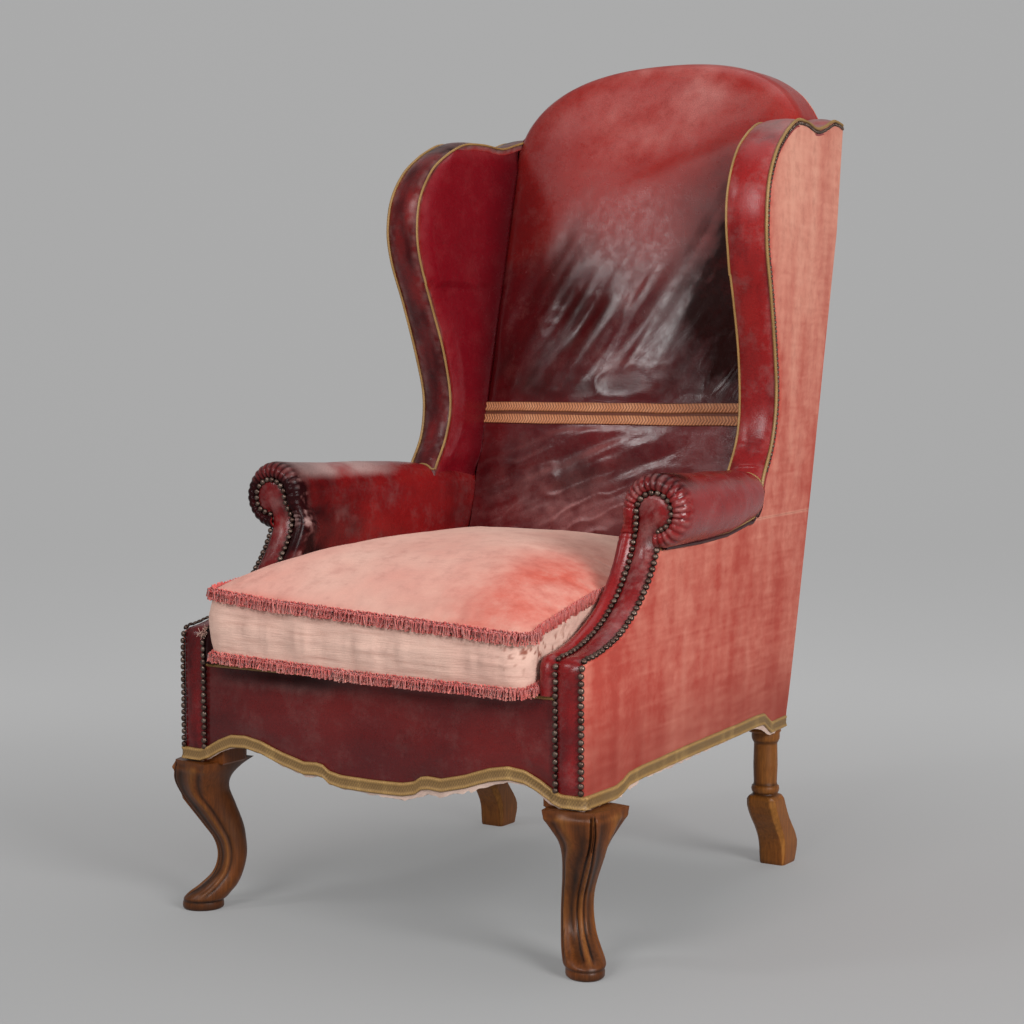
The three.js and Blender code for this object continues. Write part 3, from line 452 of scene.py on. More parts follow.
@dataclass(frozen=True)
class Carcase:
    """The stuffed frame that the covers are stretched over, in millimetres."""

    seat_front: float = -414.0
    seat_back: float = 284.0
    front_half: float = 327.0
    rear_half: float = 278.0
    flare: float = 34.0
    braid_bottom: float = 217.0
    braid_height: float = 17.0
    cover_seam: float = 548.0
    face_rake: float = 0.24
    rear_rake: float = 0.172
    arch_half: float = 262.0
    arch_centre: float = 1100.0
    arch_foot: float = 1145.0
    crest_top: float = 1258.0
    arch_power: float = 2.35
    front_edge_line: Points = (
        (0, 204), (50, 205), (70, 209), (80, 216), (92, 218), (112, 217), (150, 226),
        (186, 238), (215, 243), (240, 241), (262, 232), (280, 222), (294, 217), (327, 217),
    )
    side_edge_line: Points = (
        (-414, 217), (-330, 217), (-312, 221), (-296, 228), (-260, 231), (-100, 235),
        (150, 236), (180, 235), (198, 226), (216, 217), (300, 217),
    )
    roll: Points = (
        (-208, 319.5, 578.5, 49.5), (-99, 312, 576, 47), (-8, 303, 577, 45), (62, 295, 580, 39.5),
        (94, 291, 580.5, 36.5), (110, 287, 581.5, 33), (120, 283.5, 582, 29.5), (128, 280.5, 582, 28.2),
        (150, 277, 582, 27), (240, 273, 582, 23),
    )
    roll_end: Points = ((92, 548.4), (101, 552.5), (110, 559), (115.5, 568), (118, 578))
    wing_front_outer: Points = (
        (118, 578), (120, 592), (123, 603), (128, 613), (155, 660), (164, 720), (150, 785),
        (122, 870), (97, 935), (90, 985), (100, 1035), (130, 1078), (170, 1108),
    )
    wing_top_outer: Points = (
        (170, 1108), (215, 1128), (262, 1130), (306, 1125), (345, 1132), (394, 1146), (446, 1143),
    )
    wing_front_inner: Points = (
        (107, 578), (109, 592), (113, 604), (118, 613), (146, 660), (157, 715), (144, 790),
        (118, 862), (95, 920), (83, 975), (90, 1030), (122, 1080), (165, 1110),
    )
    wing_top_inner: Points = (
        (165, 1110), (205, 1126), (254, 1130), (306, 1128), (345, 1138), (394, 1149), (446, 1146),
    )

    def seat_half(self, y: Array | float) -> Array:
        """Half width over the outside covers at the seat."""
        t = np.maximum(0, (y - self.seat_front) / (self.seat_back - self.seat_front))
        return self.front_half - (self.front_half - self.rear_half) * t**1.5

    def side_x(self, y: Array | float, z: Array | float) -> Array:
        """How far out the outside cover stands."""
        lean = self.flare * np.clip((z - 240) / 740, 0, 1) ** 0.85
        return self.seat_half(y) + lean * np.clip((y - self.seat_front) / 450, 0, 1)

    def face_y(self, z: Array | float) -> Array:
        """Depth of the inside back."""
        return 202 + self.face_rake * (z - 520)

    def rear_y(self, z: Array | float) -> Array:
        """Depth of the outside back."""
        return self.seat_back + self.rear_rake * (z - 235)

    def front_edge(self, x: Array | float) -> Array:
        """Height of the shaped lower edge across the front."""
        return reading(self.front_edge_line, np.abs(x))

    def side_edge(self, y: Array | float) -> Array:
        """Height of the shaped lower edge along a side."""
        return reading(self.side_edge_line, y)

    def roll_at(self, y: Array | float) -> tuple[Array, Array, Array]:
        """Centre x, centre z and radius of the arm roll."""
        return tuple(reading(self.roll, y, k) for k in (1, 2, 3))

    def arm_front(self, low: float) -> Array:
        """Front of an arm in (y, z): post, shoulder, then the sweep up to the scroll."""
        post = np.array([(self.seat_front, z) for z in np.linspace(low, 386, 60)])
        shoulder = bezier([(-414, 388), (-414, 401), (-400, 402)], 14)
        sweep = bezier([(-400, 402), (-300, 412), (-228, 478), (-208, 556)], 90)
        return np.vstack([post, shoulder, sweep[1:]])

    def wing_inner_x(self, y: Array, z: Array) -> Array:
        """Inside face of a wing."""
        front = 258 + 12 * smooth((z - 700) / 280)
        start = np.where(z < 900, 150.0, 90.0)
        return mix(front, 250.0, np.clip((y - start) / (self.face_y(z) - start), 0, 1))

    def wing_edge(self, front: Points, top: Points, count: int) -> Array:
        """Edge of a wing in (y, z) from the arm round the front and over the top."""
        return even(np.vstack([through(front, 300), through(top, 200)[1:]]), count)

    def wing_patch(
        self,
        front: Points,
        top: Points,
        inset: float,
        rear: Callable[[float], float],
        size: tuple[int, int],
    ) -> Array:
        """Grid in (y, z) that fills a wing from its edge back to a plane.

        Args:
            front: Edge of the wing from the bottom to the top corner.
            top: Edge from that corner to the back.
            inset: How far inside the edge the grid starts.
            rear: Depth of the plane at a height.
            size: Rows and columns.

        Returns:
            Array of rows, columns and (y, z).
        """
        rows, cols = size
        base = front[0][1]
        whole = moved(np.vstack([through(front, 300), through(top, 200)[1:]]), inset)
        rising = whole[:300]
        rising = rising[rising[:, 1] > base + 1]
        start = np.array([[np.interp(base, rising[:2, 1], rising[:2, 0]), base]])
        edge = even(np.vstack([start, rising]), rows)
        over = whole[299:]
        over = over[[y < rear(z) - 3 for y, z in over]]
        end = np.array([[rear(over[-1, 1]), over[-1, 1]]])
        crown = even(np.vstack([over, end]), cols)
        bottom = even(np.vstack([edge[:1], [[rear(base), base]]]), cols)
        back = even(np.vstack([bottom[-1:], crown[-1:]]), rows)
        return coons(bottom, crown, edge, back)

    def arch(self, count: int) -> Array:
        """Edge of the back above the wings in (x, z), from left to right."""
        angle = np.linspace(0, math.pi, 600)
        power = 2 / self.arch_power
        x = -np.sign(np.cos(angle)) * self.arch_half * np.abs(np.cos(angle)) ** power
        z = self.arch_centre + (self.crest_top - self.arch_centre) * np.sin(angle) ** power
        keep = z > self.arch_foot
        return even(np.stack([x[keep], z[keep]], 1), count)


# ---- inside back


@dataclass
class InsideBack:
    """Leather of the inside back, crumpled by use, with a woven band across it."""

    form: Carcase
    red: Material
    wine: Material
    band: Material
    half: float = 249.0
    band_middle: float = 695.0
    band_half: float = 17.0
    low: float = 372.0
    edge_round: float = 48.0
    crown: float = 14.0
    # Dark patches: stains, and in the strongest row, on the right beside the wing, stain with the wing's
    # shadow painted in.
    stained_and_shaded: Points = (
        (0.7, -120, 915, 66, 100, -14), (0.6, -60, 840, 40, 90, -28), (0.55, -190, 770, 70, 60),
        (1.5, 205, 880, 84, 200, 8), (0.45, 110, 850, 60, 130), (0.45, -60, 735, 150, 25),
    )
    # Pale patches: a scuff near the top and a paler patch left of it, and painted highlights: a soft stroke
    # rising to the right below the top and a line along the top edge.
    faded: Points = (
        (0.5, 86, 1206, 44, 30), (0.22, 60, 1150, 150, 26, 16), (0.2, -60, 1180, 150, 50),
        (0.3, 0, 1250, 220, 14),
    )

    def build(self) -> None:
        """Makes the two leather panels and the band between them."""
        upper = self.upper().place("inside_back_upper", self.red, Slot.RED_LEATHER, 60)
        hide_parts("back_leather_upper")
        lower = self.lower().place("inside_back_lower", self.wine, Slot.DARK_LEATHER, 60)
        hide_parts("back_leather_lower")
        band = self.woven_band().place("inside_back_band", self.band, Slot.GILT, 60)
        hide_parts("back_braid")

    def puff(self, x: Array, z: Array) -> Array:
        """How far the stuffing pushes the leather forward."""
        return self.crown * (1 - (x / self.half) ** 2) * smooth((z - 420) / 160) * smooth((1240 - z) / 220)

    def upper(self) -> Body:
        """Panel above the band, rolled over the arched top."""
        form, rows, cols = self.form, 153, 145
        foot = self.band_middle + self.band_half
        ends = [(-self.half, form.arch_foot), (self.half, form.arch_foot)]
        arch = even(np.vstack([ends[:1], form.arch(400)[6:-6], ends[1:]]), cols)
        left = even(np.array([(-self.half, foot), (-self.half, form.arch_foot)]), rows)
        right = left * np.array([-1, 1])
        bottom = even(np.array([(-self.half, foot), (self.half, foot)]), cols)
        flat = coons(bottom, arch, left, right)
        x, z = flat[..., 0], flat[..., 1]
        power = form.arch_power
        over = (np.abs(x) / form.arch_half) ** power
        over += (np.maximum(z - form.arch_centre, 0) / (form.crest_top - form.arch_centre)) ** power
        depth_in = (1 - over ** (1 / power)) * np.where(z > 1130, 172, form.arch_half)
        short = np.clip(self.edge_round - depth_in, 0, self.edge_round)
        rolled = 0.62 * self.edge_round * (1 - (1 - (short / self.edge_round) ** 3.0) ** (1 / 3.0))
        y = form.face_y(z) + rolled - self.puff(x, z)
        face = stacked(x, y, z)
        back = 12
        steps = np.linspace(0, 1, back + 1)[1:, None]
        last = face[-1]
        behind = np.repeat(last[None], back, 0)
        behind[..., 1] = mix(last[:, 1], form.rear_y(last[:, 2]) - 5, steps)
        grid = np.vstack([face, behind])
        normal = facing_out(grid, (0, -1, 0.3))
        lift = self.upper_folds(grid)
        tone = self.upper_tone(grid, self.rubbed(grid, lift))
        grid = grid + normal * lift[..., None]
        return shell(grid, grid - normal * 3, tone)

    def rubbed(self, p: Array, lift: Array) -> Array:
        """Painted highlight on the upper face of each fold, which turns up towards the lights, from 0 to 1.
        """
        spacing = np.maximum(np.linalg.norm(np.gradient(p, axis=0), axis=-1), 0.5)
        return np.clip(-np.gradient(lift, axis=0) / spacing * 4.5 - 0.2, 0, 1)

    def upper_folds(self, p: Array) -> Array:
        """Height of the folds in the upper panel, in millimetres."""
        x, z = p[..., 0], p[..., 2]
        turned = aslant(x, z, 0.5, 0.866)
        soft = cloud(p, 150, 3, 2) * 2.0
        pull = cloud(turned, (200, 90, 46), 11, 2) * 5.0 * spot(x, z, (-60, 850), (170, 120))
        strokes = cloud(turned, (170, 60, 30), 12, 1) * 1.2 * spot(x, z, (-30, 830), (150, 110))
        crumple = creases(p, (80, 60, 34), 19, 2) * 1.2 * spot(x, z, (-70, 742), (170, 34))
        crumple += creases(p, (70, 60, 50), 23, 2) * 0.4 * spot(x, z, (-130, 900), (110, 130))
        across = aslant(x, z, 0.93, 0.36)
        drag = cloud(across, (260, 80, 46), 31, 2) * 2.6 * spot(x, z, (90, 1120), (170, 60))
        corner = creases(turned, (110, 60, 28), 37, 1) * 0.9 * spot(x, z, (185, 745), (60, 45))
        fade = smooth((z - 712) / 16) * smooth((1262 - z) / 40)
        return (soft + pull + strokes + crumple + drag + corner) * fade

    def upper_tone(self, p: Array, painted_highlight: Array) -> Array:
        """Dark, pale and wine shares of the upper panel: the dark share holds stains and the painted shadow
        of the right wing, the pale share scuffs and painted highlights.
        """
        x, z = p[..., 0], p[..., 2]
        ragged = cloud(p, 46, 41, 4)
        streak = cloud(aslant(x, z, 0.5, 0.866), (90, 50, 17), 43, 3)
        dark = patches(x, z, self.stained_and_shaded) * (1 + 0.45 * ragged + 0.35 * streak)
        # Pale share: scuffs, and painted highlights from the table of pale patches.
        pale = patches(x, z, self.faded) * (1 + 0.8 * cloud(p, 24, 47, 4))
        # Painted highlight on the upper faces of the folds, where they turn up to the lights.
        pale += 0.22 * painted_highlight * spot(x, z, (-30, 830), (150, 130)) * np.clip(0.7 + 1.5 * streak, 0, 1)
        wine = 1 - smooth((z - 830 + 55 * ragged + 0.25 * x) / 190)
        wine = np.maximum(wine, 0.8 * spot(x, z, (-225, 1000), (75, 180)))
        return stacked(dark, pale, wine)

    def lower(self) -> Body:
        """Panel below the band, down behind the cushion."""
        rows, cols = 93, 153
        top = self.band_middle - self.band_half
        x, z = np.meshgrid(np.linspace(-self.half, self.half, cols), np.linspace(self.low, top, rows))
        grid = stacked(x, self.form.face_y(z) - self.puff(x, z), z)
        normal = facing_out(grid, (0, -1, 0.3))
        fade = smooth((top - z) / 14)
        p = grid
        slant = aslant(x, z, 0.94, 0.34)
        drawn = cloud(slant, (140, 60, 28), 53, 2) * 3.6 * (0.35 + spot(x, z, (-40, 590), (170, 80)))
        long_pulls = cloud(p, (260, 60, 17), 59, 2) * 1.2 * smooth((x - 10) / 120)
        crumple = creases(slant, (70, 40, 26), 61, 2) * 2.0 * spot(x, z, (-70, 560), (150, 90))
        lift = (drawn + long_pulls + crumple) * fade
        painted_highlight = self.rubbed(grid, lift)
        grid = grid + normal * lift[..., None]
        ragged = cloud(p, 60, 67, 4)
        dark = 0.55 * spot(x, z, (-30, 600), (120, 40)) + 0.5 * spot(x, z, (-190, 600), (70, 100))
        # The dark strip at the right edge, beside the arm and under the right wing, is painted shadow.
        dark = (dark + 0.9 * spot(x, z, (235, 620), (40, 120))) * (1 + 0.7 * ragged)
        pale = 0.3 * spot(x, z, (-60, 560), (140, 60)) * (1 + cloud(p, 16, 71, 3))
        # Painted highlight on the upper faces of the folds, where they turn up to the lights.
        pale += 0.3 * painted_highlight * (0.3 + spot(x, z, (-60, 580), (160, 90)))
        wine = 0.75 + 0.3 * ragged - 0.35 * smooth((x - 60) / 120)
        return shell(grid, grid - normal * 3, stacked(dark, pale, wine))

    def woven_band(self) -> Body:
        """Two herringbone braids with a dark cord and a gold thread between them."""
        rows, cols = 29, 641
        span = self.half + 1
        v, s = np.meshgrid(np.linspace(-1, 1, rows), np.linspace(-span, span, cols), indexing="ij")
        tall = self.band_half + 0.4
        braid_middle = 0.56
        across = (np.abs(v) - braid_middle) / (1 - braid_middle)
        in_braid = smooth((1.02 - np.abs(across)) / 0.16)
        pitch = 5.2
        weave = np.abs(np.sin(math.pi * (s / pitch + np.abs(across) * 0.9)))
        cord = smooth((0.10 - np.abs(v + 0.02)) / 0.05)
        twist = np.abs(np.sin(math.pi * (s / 2.6 + v * 6)))
        height = in_braid * (1.2 + 1.9 * weave) + cord * (1.2 + 0.9 * twist)
        p = stacked(s, 0.0, v * tall)
        z = self.band_middle + v * tall + cloud(p, (90, 30, 30), 73, 2) * 1.2
        y = self.form.face_y(z) - self.puff(s, z) - height - 0.6
        grid = stacked(s, y, z)
        dark = (1 - in_braid) * (1 - cord * 0.3 * twist) * 0.9 + in_braid * (1 - weave) ** 1.5 * 0.9
        worn = smooth(0.3 + cloud(p, 30, 79, 3))
        tone = stacked(dark, in_braid * weave * 0.5 * worn, cord * (1 - in_braid))
        inner = grid.copy()
        inner[..., 1] = self.form.face_y(z) - self.puff(s, z) + 2
        return shell(grid, inner, tone)


# ---- wings


@dataclass
class Wing:
    """One wing: leather pad inside, leather border round the front, cords and small nails."""

    form: Carcase
    side: Side
    leather: Material
    border_leather: Material
    gilt: Material
    brass: Material
    band: float = 9.0
    border_puff: float = 5.0
    cord: float = 1.9
    nail_pitch: float = 6.8
    nail_radius: float = 2.7

    def build(self) -> None:
        """Makes every piece of the wing."""
        tag = self.side.name.lower()
        pad = self.pad().place(f"wing_inside_{tag}", self.leather, Slot.RED_LEATHER, 60)
        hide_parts(f"wing_pad_{tag}")
        border = self.border().place(f"wing_front_border_{tag}", self.border_leather, Slot.RED_LEATHER, 60)
        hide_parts(f"wing_border_{tag}")
        self.cords().place(f"wing_cords_{tag}", self.gilt, Slot.GILT)
        self.nails().place(f"wing_nails_{tag}", self.brass, Slot.BRASS)

    def pad(self) -> Body:
        """Smooth leather inside the wing, with its front edge rounded."""
        form = self.form
        flat = form.wing_patch(
            form.wing_front_inner, form.wing_top_inner, 1.0, lambda z: float(form.face_y(z)) + 26, (105, 49)
        )
        y, z = flat[..., 0], flat[..., 1]
        near = np.minimum(in_from_front(flat), np.maximum(0, 1128 - z))
        p = stacked(self.side.value * 90.0, y, z)
        puff = 7 * smooth(near / 34) * smooth((z - 596) / 40) - 1.5
        lump = cloud(p, (90, 90, 160), 83, 2) * 1.2
        low_folds = cloud(p, (60, 34, 90), 89, 2) * 1.6 * smooth((720 - z) / 90)
        x = form.wing_inner_x(y, z) - (puff + (lump + low_folds) * smooth(near / 30))
        x = x + 4 * smooth((y - form.face_y(z) + 4) / 12)
        grid = stacked(x, y, z)
        inner = grid + np.array([8.0, 0, 0])
        # The dark and deep shares rise towards the corner with the back: painted shade.
        depth = (y - 120) / (form.face_y(z) - 120)
        dark = 0.9 * smooth((depth - 0.55) / 0.5) + 0.25 * cloud(p, 60, 97, 3)
        # Paler along the rounded front edge: painted highlight.
        bright = 0.4 * smooth((26 - near) / 26) * (1 + 0.6 * cloud(p, 20, 101, 3))
        wine = 0.35 + 0.35 * depth
        tone = stacked(dark * 0.6, bright * 0.5, wine)
        return shell(flip(grid, self.side), flip(inner, self.side), tone)

    def lines(self, count: int) -> tuple[Array, Array]:
        """Inside and outside lines of the border in space, for the right side."""
        form = self.form
        inner = form.wing_edge(form.wing_front_inner, form.wing_top_inner, count)
        outer = form.wing_edge(form.wing_front_outer, form.wing_top_outer, count)
        inside = np.column_stack([form.wing_inner_x(inner[:, 0], inner[:, 1]), inner])
        outside = np.column_stack([form.side_x(outer[:, 0], outer[:, 1]), outer])
        keep = outer[:, 0] < form.rear_y(outer[:, 1]) - 3
        return inside[keep], outside[keep]

    def outward(self, line: Array) -> Array:
        """Direction that faces out of the wing's edge, at each point of a line."""
        ahead = heading(line[:, 1:])
        return np.column_stack([np.zeros(len(line)), -ahead[:, 1], ahead[:, 0]])

    def border(self) -> Body:
        """Padded strip between the inside and outside lines."""
        inside, outside = self.lines(400)
        rows = (len(inside) - 1) // 4 * 4 + 1
        inside, outside = even(inside, rows), even(outside, rows)
        u = np.linspace(0, 1, 21)[None, :, None]
        grid = mix(inside[:, None], outside[:, None], u)
        out = (self.outward(inside)[:, None] + self.outward(outside)[:, None]) / 2
        profile = 1 - np.abs(2 * u - 1) ** 2.6
        p = flip(grid, self.side)
        z = grid[..., 2]
        lump = cloud(p, (60, 60, 140), 103, 2) * 0.45
        low_folds = creases(p, (60, 40, 18), 107, 2) * 1.4 * smooth((690 - z) / 70)
        rise = self.border_puff * profile + ((lump + low_folds) * profile[..., 0])[..., None]
        skin = grid + out * rise
        ragged = cloud(p, (22, 30, 60), 109, 4)
        fine = cloud(p, 9, 113, 3)
        left = self.side is Side.LEFT
        dark = (0.5 if left else 0.02) + 0.45 * ragged + 0.2 * smooth((z - 1060) / 60)
        pale = (0.16 if left else 0.04) * (1 + 2.2 * fine) * smooth((np.abs(2 * u[..., 0] - 1) - 0.3) / 0.5)
        # Paler along the top of the border: painted highlight.
        pale = pale + 0.35 * smooth((z - 1095) / 25) * (1 + ragged)
        wine = (0.55 if left else 0.3) - 0.25 * smooth((z - 700) / 300) + 0.3 * ragged
        base = grid - out * self.band
        return shell(flip(skin, self.side), flip(base, self.side), stacked(dark, pale, wine))

    def cords(self) -> Body:
        """Gold cords on both lines of the border, and round its foot on the arm."""
        inside, outside = self.lines(900)
        bodies = []
        inside = inside[inside[:, 2] > 605]
        for line, radius, lift in ((inside, self.cord, 0.8), (outside, self.cord * 1.25, 1.6)):
            path = line + self.outward(line) * lift
            bodies.append(twisted(flip(path, self.side), radius, 4.8))
        bodies.append(twisted(flip(self.foot_line(), self.side), 1.6, 4.8))
        return together(bodies)

    def foot_line(self) -> Array:
        """Line where the border stands on the arm roll, from inside to outside."""
        form = self.form
        cx, cz, r = (float(v) for v in form.roll_at(116.0))
        share = np.linspace(0.02, 0.99, 50)
        outer_x = float(form.side_x(118.0, 590.0))
        x = mix(258.0, outer_x, share)
        z = cz + np.sqrt(np.clip(r**2 - (x - cx) ** 2, 9, None)) + 1.0
        z = np.where(x < cx, np.maximum(z, 606.0), z)
        inner, outer = np.array(form.wing_front_inner), np.array(form.wing_front_outer)
        y = mix(np.interp(z, inner[:4, 1], inner[:4, 0]), np.interp(z, outer[:4, 1], outer[:4, 0]), share)
        return np.column_stack([x, y - self.border_puff * (1 - np.abs(2 * share - 1) ** 2.6) - 1.2, z])

    def nails(self) -> Body:
        """Row of small nails just inside the velvet."""
        _, outside = self.lines(900)
        outside = outside[outside[:, 2] > 618]
        flat = moved(outside[:, 1:], 3.4)
        row = even(flat, int(length_of(flat) / self.nail_pitch))
        x = self.form.side_x(row[:, 0], row[:, 1]) + 1.0
        spots = np.column_stack([x, row])
        out = np.tile((1.0, 0.0, 0.0), (len(row), 1))
        return nail_heads(flip(spots, self.side), flip(out, self.side), self.nail_radius, 211)


def twisted(path: Array, radius: float, lay: float) -> Body:
    """Twisted cord with its strands showing.

    Args:
        path: Points along the middle of the cord.
        radius: Radius over the strands.
        lay: Length of one strand mark along the cord.

    Returns:
        The closed body, paler on the strands.
    """
    count = max(8, int(length_of(path) / (lay / 4)))
    path = even(path, count)
    run = run_of(path)
    sides = 6
    body = tube(path, radius, sides)
    angle = np.tile(np.linspace(0, 2 * math.pi, sides, endpoint=False), len(path))
    phase = np.repeat(run, sides) / lay * 2 * math.pi
    strand = np.abs(np.sin(phase + angle))
    middle = np.repeat(path, sides, 0)
    body.points = middle + (body.points - middle) * (0.78 + 0.3 * strand)[:, None]
    worn = 0.4 + 0.6 * cloud(middle, 26, 131, 2)
    body.tone = np.stack([(1 - strand) * 0.8, strand * worn * 0.6, 0.3 * (1 - worn)], 1)
    return body


def nail_heads(spots: Array, outward: Array, radius: float, seed: int) -> Body:
    """Domed nail heads.

    Args:
        spots: Middle of each head on the leather.
        outward: Direction each head faces.
        radius: Radius of a head.
        seed: Which random tilts and tarnish.

    Returns:
        All the heads as one mesh.
    """
    chance = np.random.default_rng(seed)
    bodies = []
    profile = np.array([(1.0, -0.3), (1.0, 0.06), (0.93, 0.24), (0.72, 0.47), (0.42, 0.61), (0.14, 0.66)])
    around = np.linspace(0, 2 * math.pi, 9, endpoint=False)
    for spot_at, out in zip(spots, outward):
        lean = out / np.linalg.norm(out) + chance.normal(0, 0.06, 3)
        lean /= np.linalg.norm(lean)
        side_a = np.cross(lean, (0.2, 0.3, 0.93))
        side_a /= np.linalg.norm(side_a)
        side_b = np.cross(lean, side_a)
        size = radius * chance.uniform(0.94, 1.05)
        ring = np.cos(around)[:, None] * side_a + np.sin(around)[:, None] * side_b
        middle = spot_at + chance.normal(0, 0.18, 3)
        rings = np.array([middle + ring * r * size + lean * h * size for r, h in profile])
        tarnish = chance.uniform(0, 1)
        tone = np.zeros((*rings.shape[:2], 3))
        tone[..., 0] = np.array([1, 0.9, 0.5, 0.25, 0.1, 0])[:, None] * 0.8
        tone[..., 1] = tarnish
        bodies.append(loft(rings, tone))
    return together(bodies)


# ---- arms


@dataclass
class Arm:
    """One arm: rolled leather pad with a pleated scroll, leather facing and dome nails."""

    form: Carcase
    side: Side
    leather: Material
    brass: Material
    facing_inner: float = 286.5
    facing_outer: float = 322.3
    scroll_front: float = -222.0
    lobe: Pair = (320.0, 576.0)
    lobe_radius: float = 26.0
    pleats: int = 27
    pleat_depth: float = 2.2
    nail_pitch: float = 9.0
    nail_radius: float = 4.3
    nail_lift: float = 3.2
    low: float = 356.0
    strip_section: Points = (
        (0, 0), (4.5, 1.8), (10, 6.4), (16, 7.6), (22.5, 3.5), (25.5, -7),
        (24.5, -19), (22.5, -31), (22, -40),
    )
    scroll_section: Points = (
        (0, 0), (2, 3.4), (7, 6), (13, 4.6), (18, 0), (20.6, -5), (21.4, -10), (21.5, -14), (21.5, -18),
    )

    def build(self) -> None:
        """Makes the pad, the facing and its nails."""
        tag = self.side.name.lower()
        pad = self.pad().place(f"arm_roll_{tag}", self.leather, Slot.RED_LEATHER, 60)
        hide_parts(f"arm_pad_{tag}")
        facing = self.facing().place(f"arm_front_{tag}", self.leather, Slot.RED_LEATHER, 60)
        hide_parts(f"arm_facing_{tag}")
        self.nails().place(f"arm_nails_{tag}", self.brass, Slot.BRASS)

    def inner_x(self, y: Array) -> Array:
        """Inside face of the arm."""
        cx, _, r = self.form.roll_at(y)
        return np.where(y < -206, mix(264.5, 270.0, np.clip((y + 400) / 194, 0, 1)), cx - r)

    def front_path(self, low: float, high: float) -> Array:
        """Front of the arm in (y, z) up to the start of the scroll."""
        path = self.form.arm_front(low)
        path = np.vstack([path, [(-206, 566), (-205.5, 576)]])
        return path[path[:, 1] <= high + 0.01]

    def pad(self) -> Body:
        """Inside of the arm, the roll and its pleated front as one skin."""
        form, side = self.form, self.side
        wrap, run, wall, arc = 28, 69, 108, 97
        front = even(self.front_path(self.low, 576), wall + 1)
        near_top = smooth((front[:, 1] - 535) / 41)
        strip, scroll = through(self.strip_section, wrap + 1), through(self.scroll_section, wrap + 1)
        section = mix(strip, scroll, near_top[:, None, None])
        ahead = heading(front)
        out_flat = np.column_stack([-ahead[:, 1], ahead[:, 0]])
        out_flat = mix(out_flat, np.array([[-1.0, 0.0]]), near_top[:, None])
        nail_line = np.column_stack([
            mix(self.facing_inner, self.lobe[0] - 28.0, near_top),
            mix(front[:, 0], self.scroll_front, near_top),
            front[:, 1],
        ])
        ease = 1 - 0.35 * spot(front[:, 1], 0, (398, 0), (14, 1))
        turn = np.empty((wall + 1, wrap + 1, 3))
        turn[..., 0] = nail_line[:, :1] - section[..., 0]
        lifted = section[..., 1:] * np.where(section[..., 1:] > 0, ease[:, None, None], 1)
        turn[..., 1:] = nail_line[:, None, 1:] + out_flat[:, None] * lifted
        shoulder = turn[:, -1, 1:]
        turn = turn[:-1, :-1]
        y_run = np.linspace(shoulder[-1, 0], 240, run)
        top = np.column_stack([y_run, form.roll_at(y_run)[1]])
        bottom = even(np.array([shoulder[0], (240, self.low)]), run)
        back = even(np.array([bottom[-1], top[-1]]), wall + 1)
        flat = coons(bottom, top, shoulder, back)[:-1]
        side_face = stacked(self.inner_x(flat[..., 0]), flat[..., 0], flat[..., 1])
        lift = 5 * smooth((560 - flat[..., 1]) / 90) * smooth((flat[..., 0] + 190) / 120)
        side_face[..., 0] += lift
        inner_part = np.concatenate([turn, side_face], 1)
        angle = np.radians(np.linspace(180, -90, arc))[:, None]
        cx, cz, r = form.roll_at(y_run)
        roll = stacked(cx + r * np.cos(angle), y_run, cz + r * np.sin(angle))
        cx0, cz0, r0 = (float(v) for v in form.roll_at(y_run[0]))
        reach, lift_out = section[-1, :-1].T
        share = np.clip(reach / (r0 - 28.0), 0, 1)
        radius = 28.0 + reach * (r0 - 28.0) / section[-1, -1, 0]
        cap = stacked(
            mix(self.lobe[0], cx0, share) + radius * np.cos(angle),
            self.scroll_front - lift_out,
            mix(self.lobe[1], cz0, share) + radius * np.sin(angle),
        )
        grid = np.vstack([inner_part, np.concatenate([cap, roll], 1)])
        normal = facing_out(grid, (-1, 0, 0))
        centre = np.array([302.0, -100.0, 560.0])
        outward = np.where(((grid - centre) * normal).sum(-1, keepdims=True) < 0, -1.0, 1.0)
        normal = np.where(np.arange(len(grid))[:, None, None] < wall, normal, normal * outward)
        normal[:wall] = facing_out(inner_part, (-0.85, -0.9, 0.4))
        around = np.concatenate([math.pi + (576 - front[:-1, 1]) / 30, angle[:, 0]])[:, None]
        from_ring = np.arange(wrap + run)[None, :]
        p = flip(grid, side)
        wander = cloud(p, 40, 137, 2) * 0.25
        valley = np.abs(np.sin((around + wander * 0.6) * self.pleats / 2))
        strength = smooth((wrap + 3 - from_ring) / 15) * smooth((from_ring + 1) / 5)
        strength = strength * smooth((5.0 - around) / 0.9)
        pleat = (valley**0.6 - 0.75) * self.pleat_depth * strength
        lump = cloud(p, (70, 110, 50), 139, 2) * 1.6
        wrinkle = creases(p, (60, 90, 40), 149, 2) * 0.5 * smooth((from_ring - wrap) / 20)
        edge = smooth(from_ring / 3)
        grid = grid + normal * (pleat + (lump + wrinkle) * edge)[..., None]
        tone = self.pad_tone(p, valley, strength)
        return shell(flip(grid, side), flip(grid - normal * 3.5, side), tone)

    def pad_tone(self, p: Array, valley: Array, strength: Array) -> Array:
        """Dark, pale and wine shares of the arm."""
        x, y, z = np.abs(p[..., 0]), p[..., 1], p[..., 2]
        left = self.side is Side.LEFT
        ragged, fine = cloud(p, 48, 151, 4), cloud(p, 11, 157, 3)
        crown = smooth((z - 590) / 26)
        dark = crown * ((0.12 if left else 0.42) + 0.3 * spot(y, z, (-190, 620), (50, 40)))
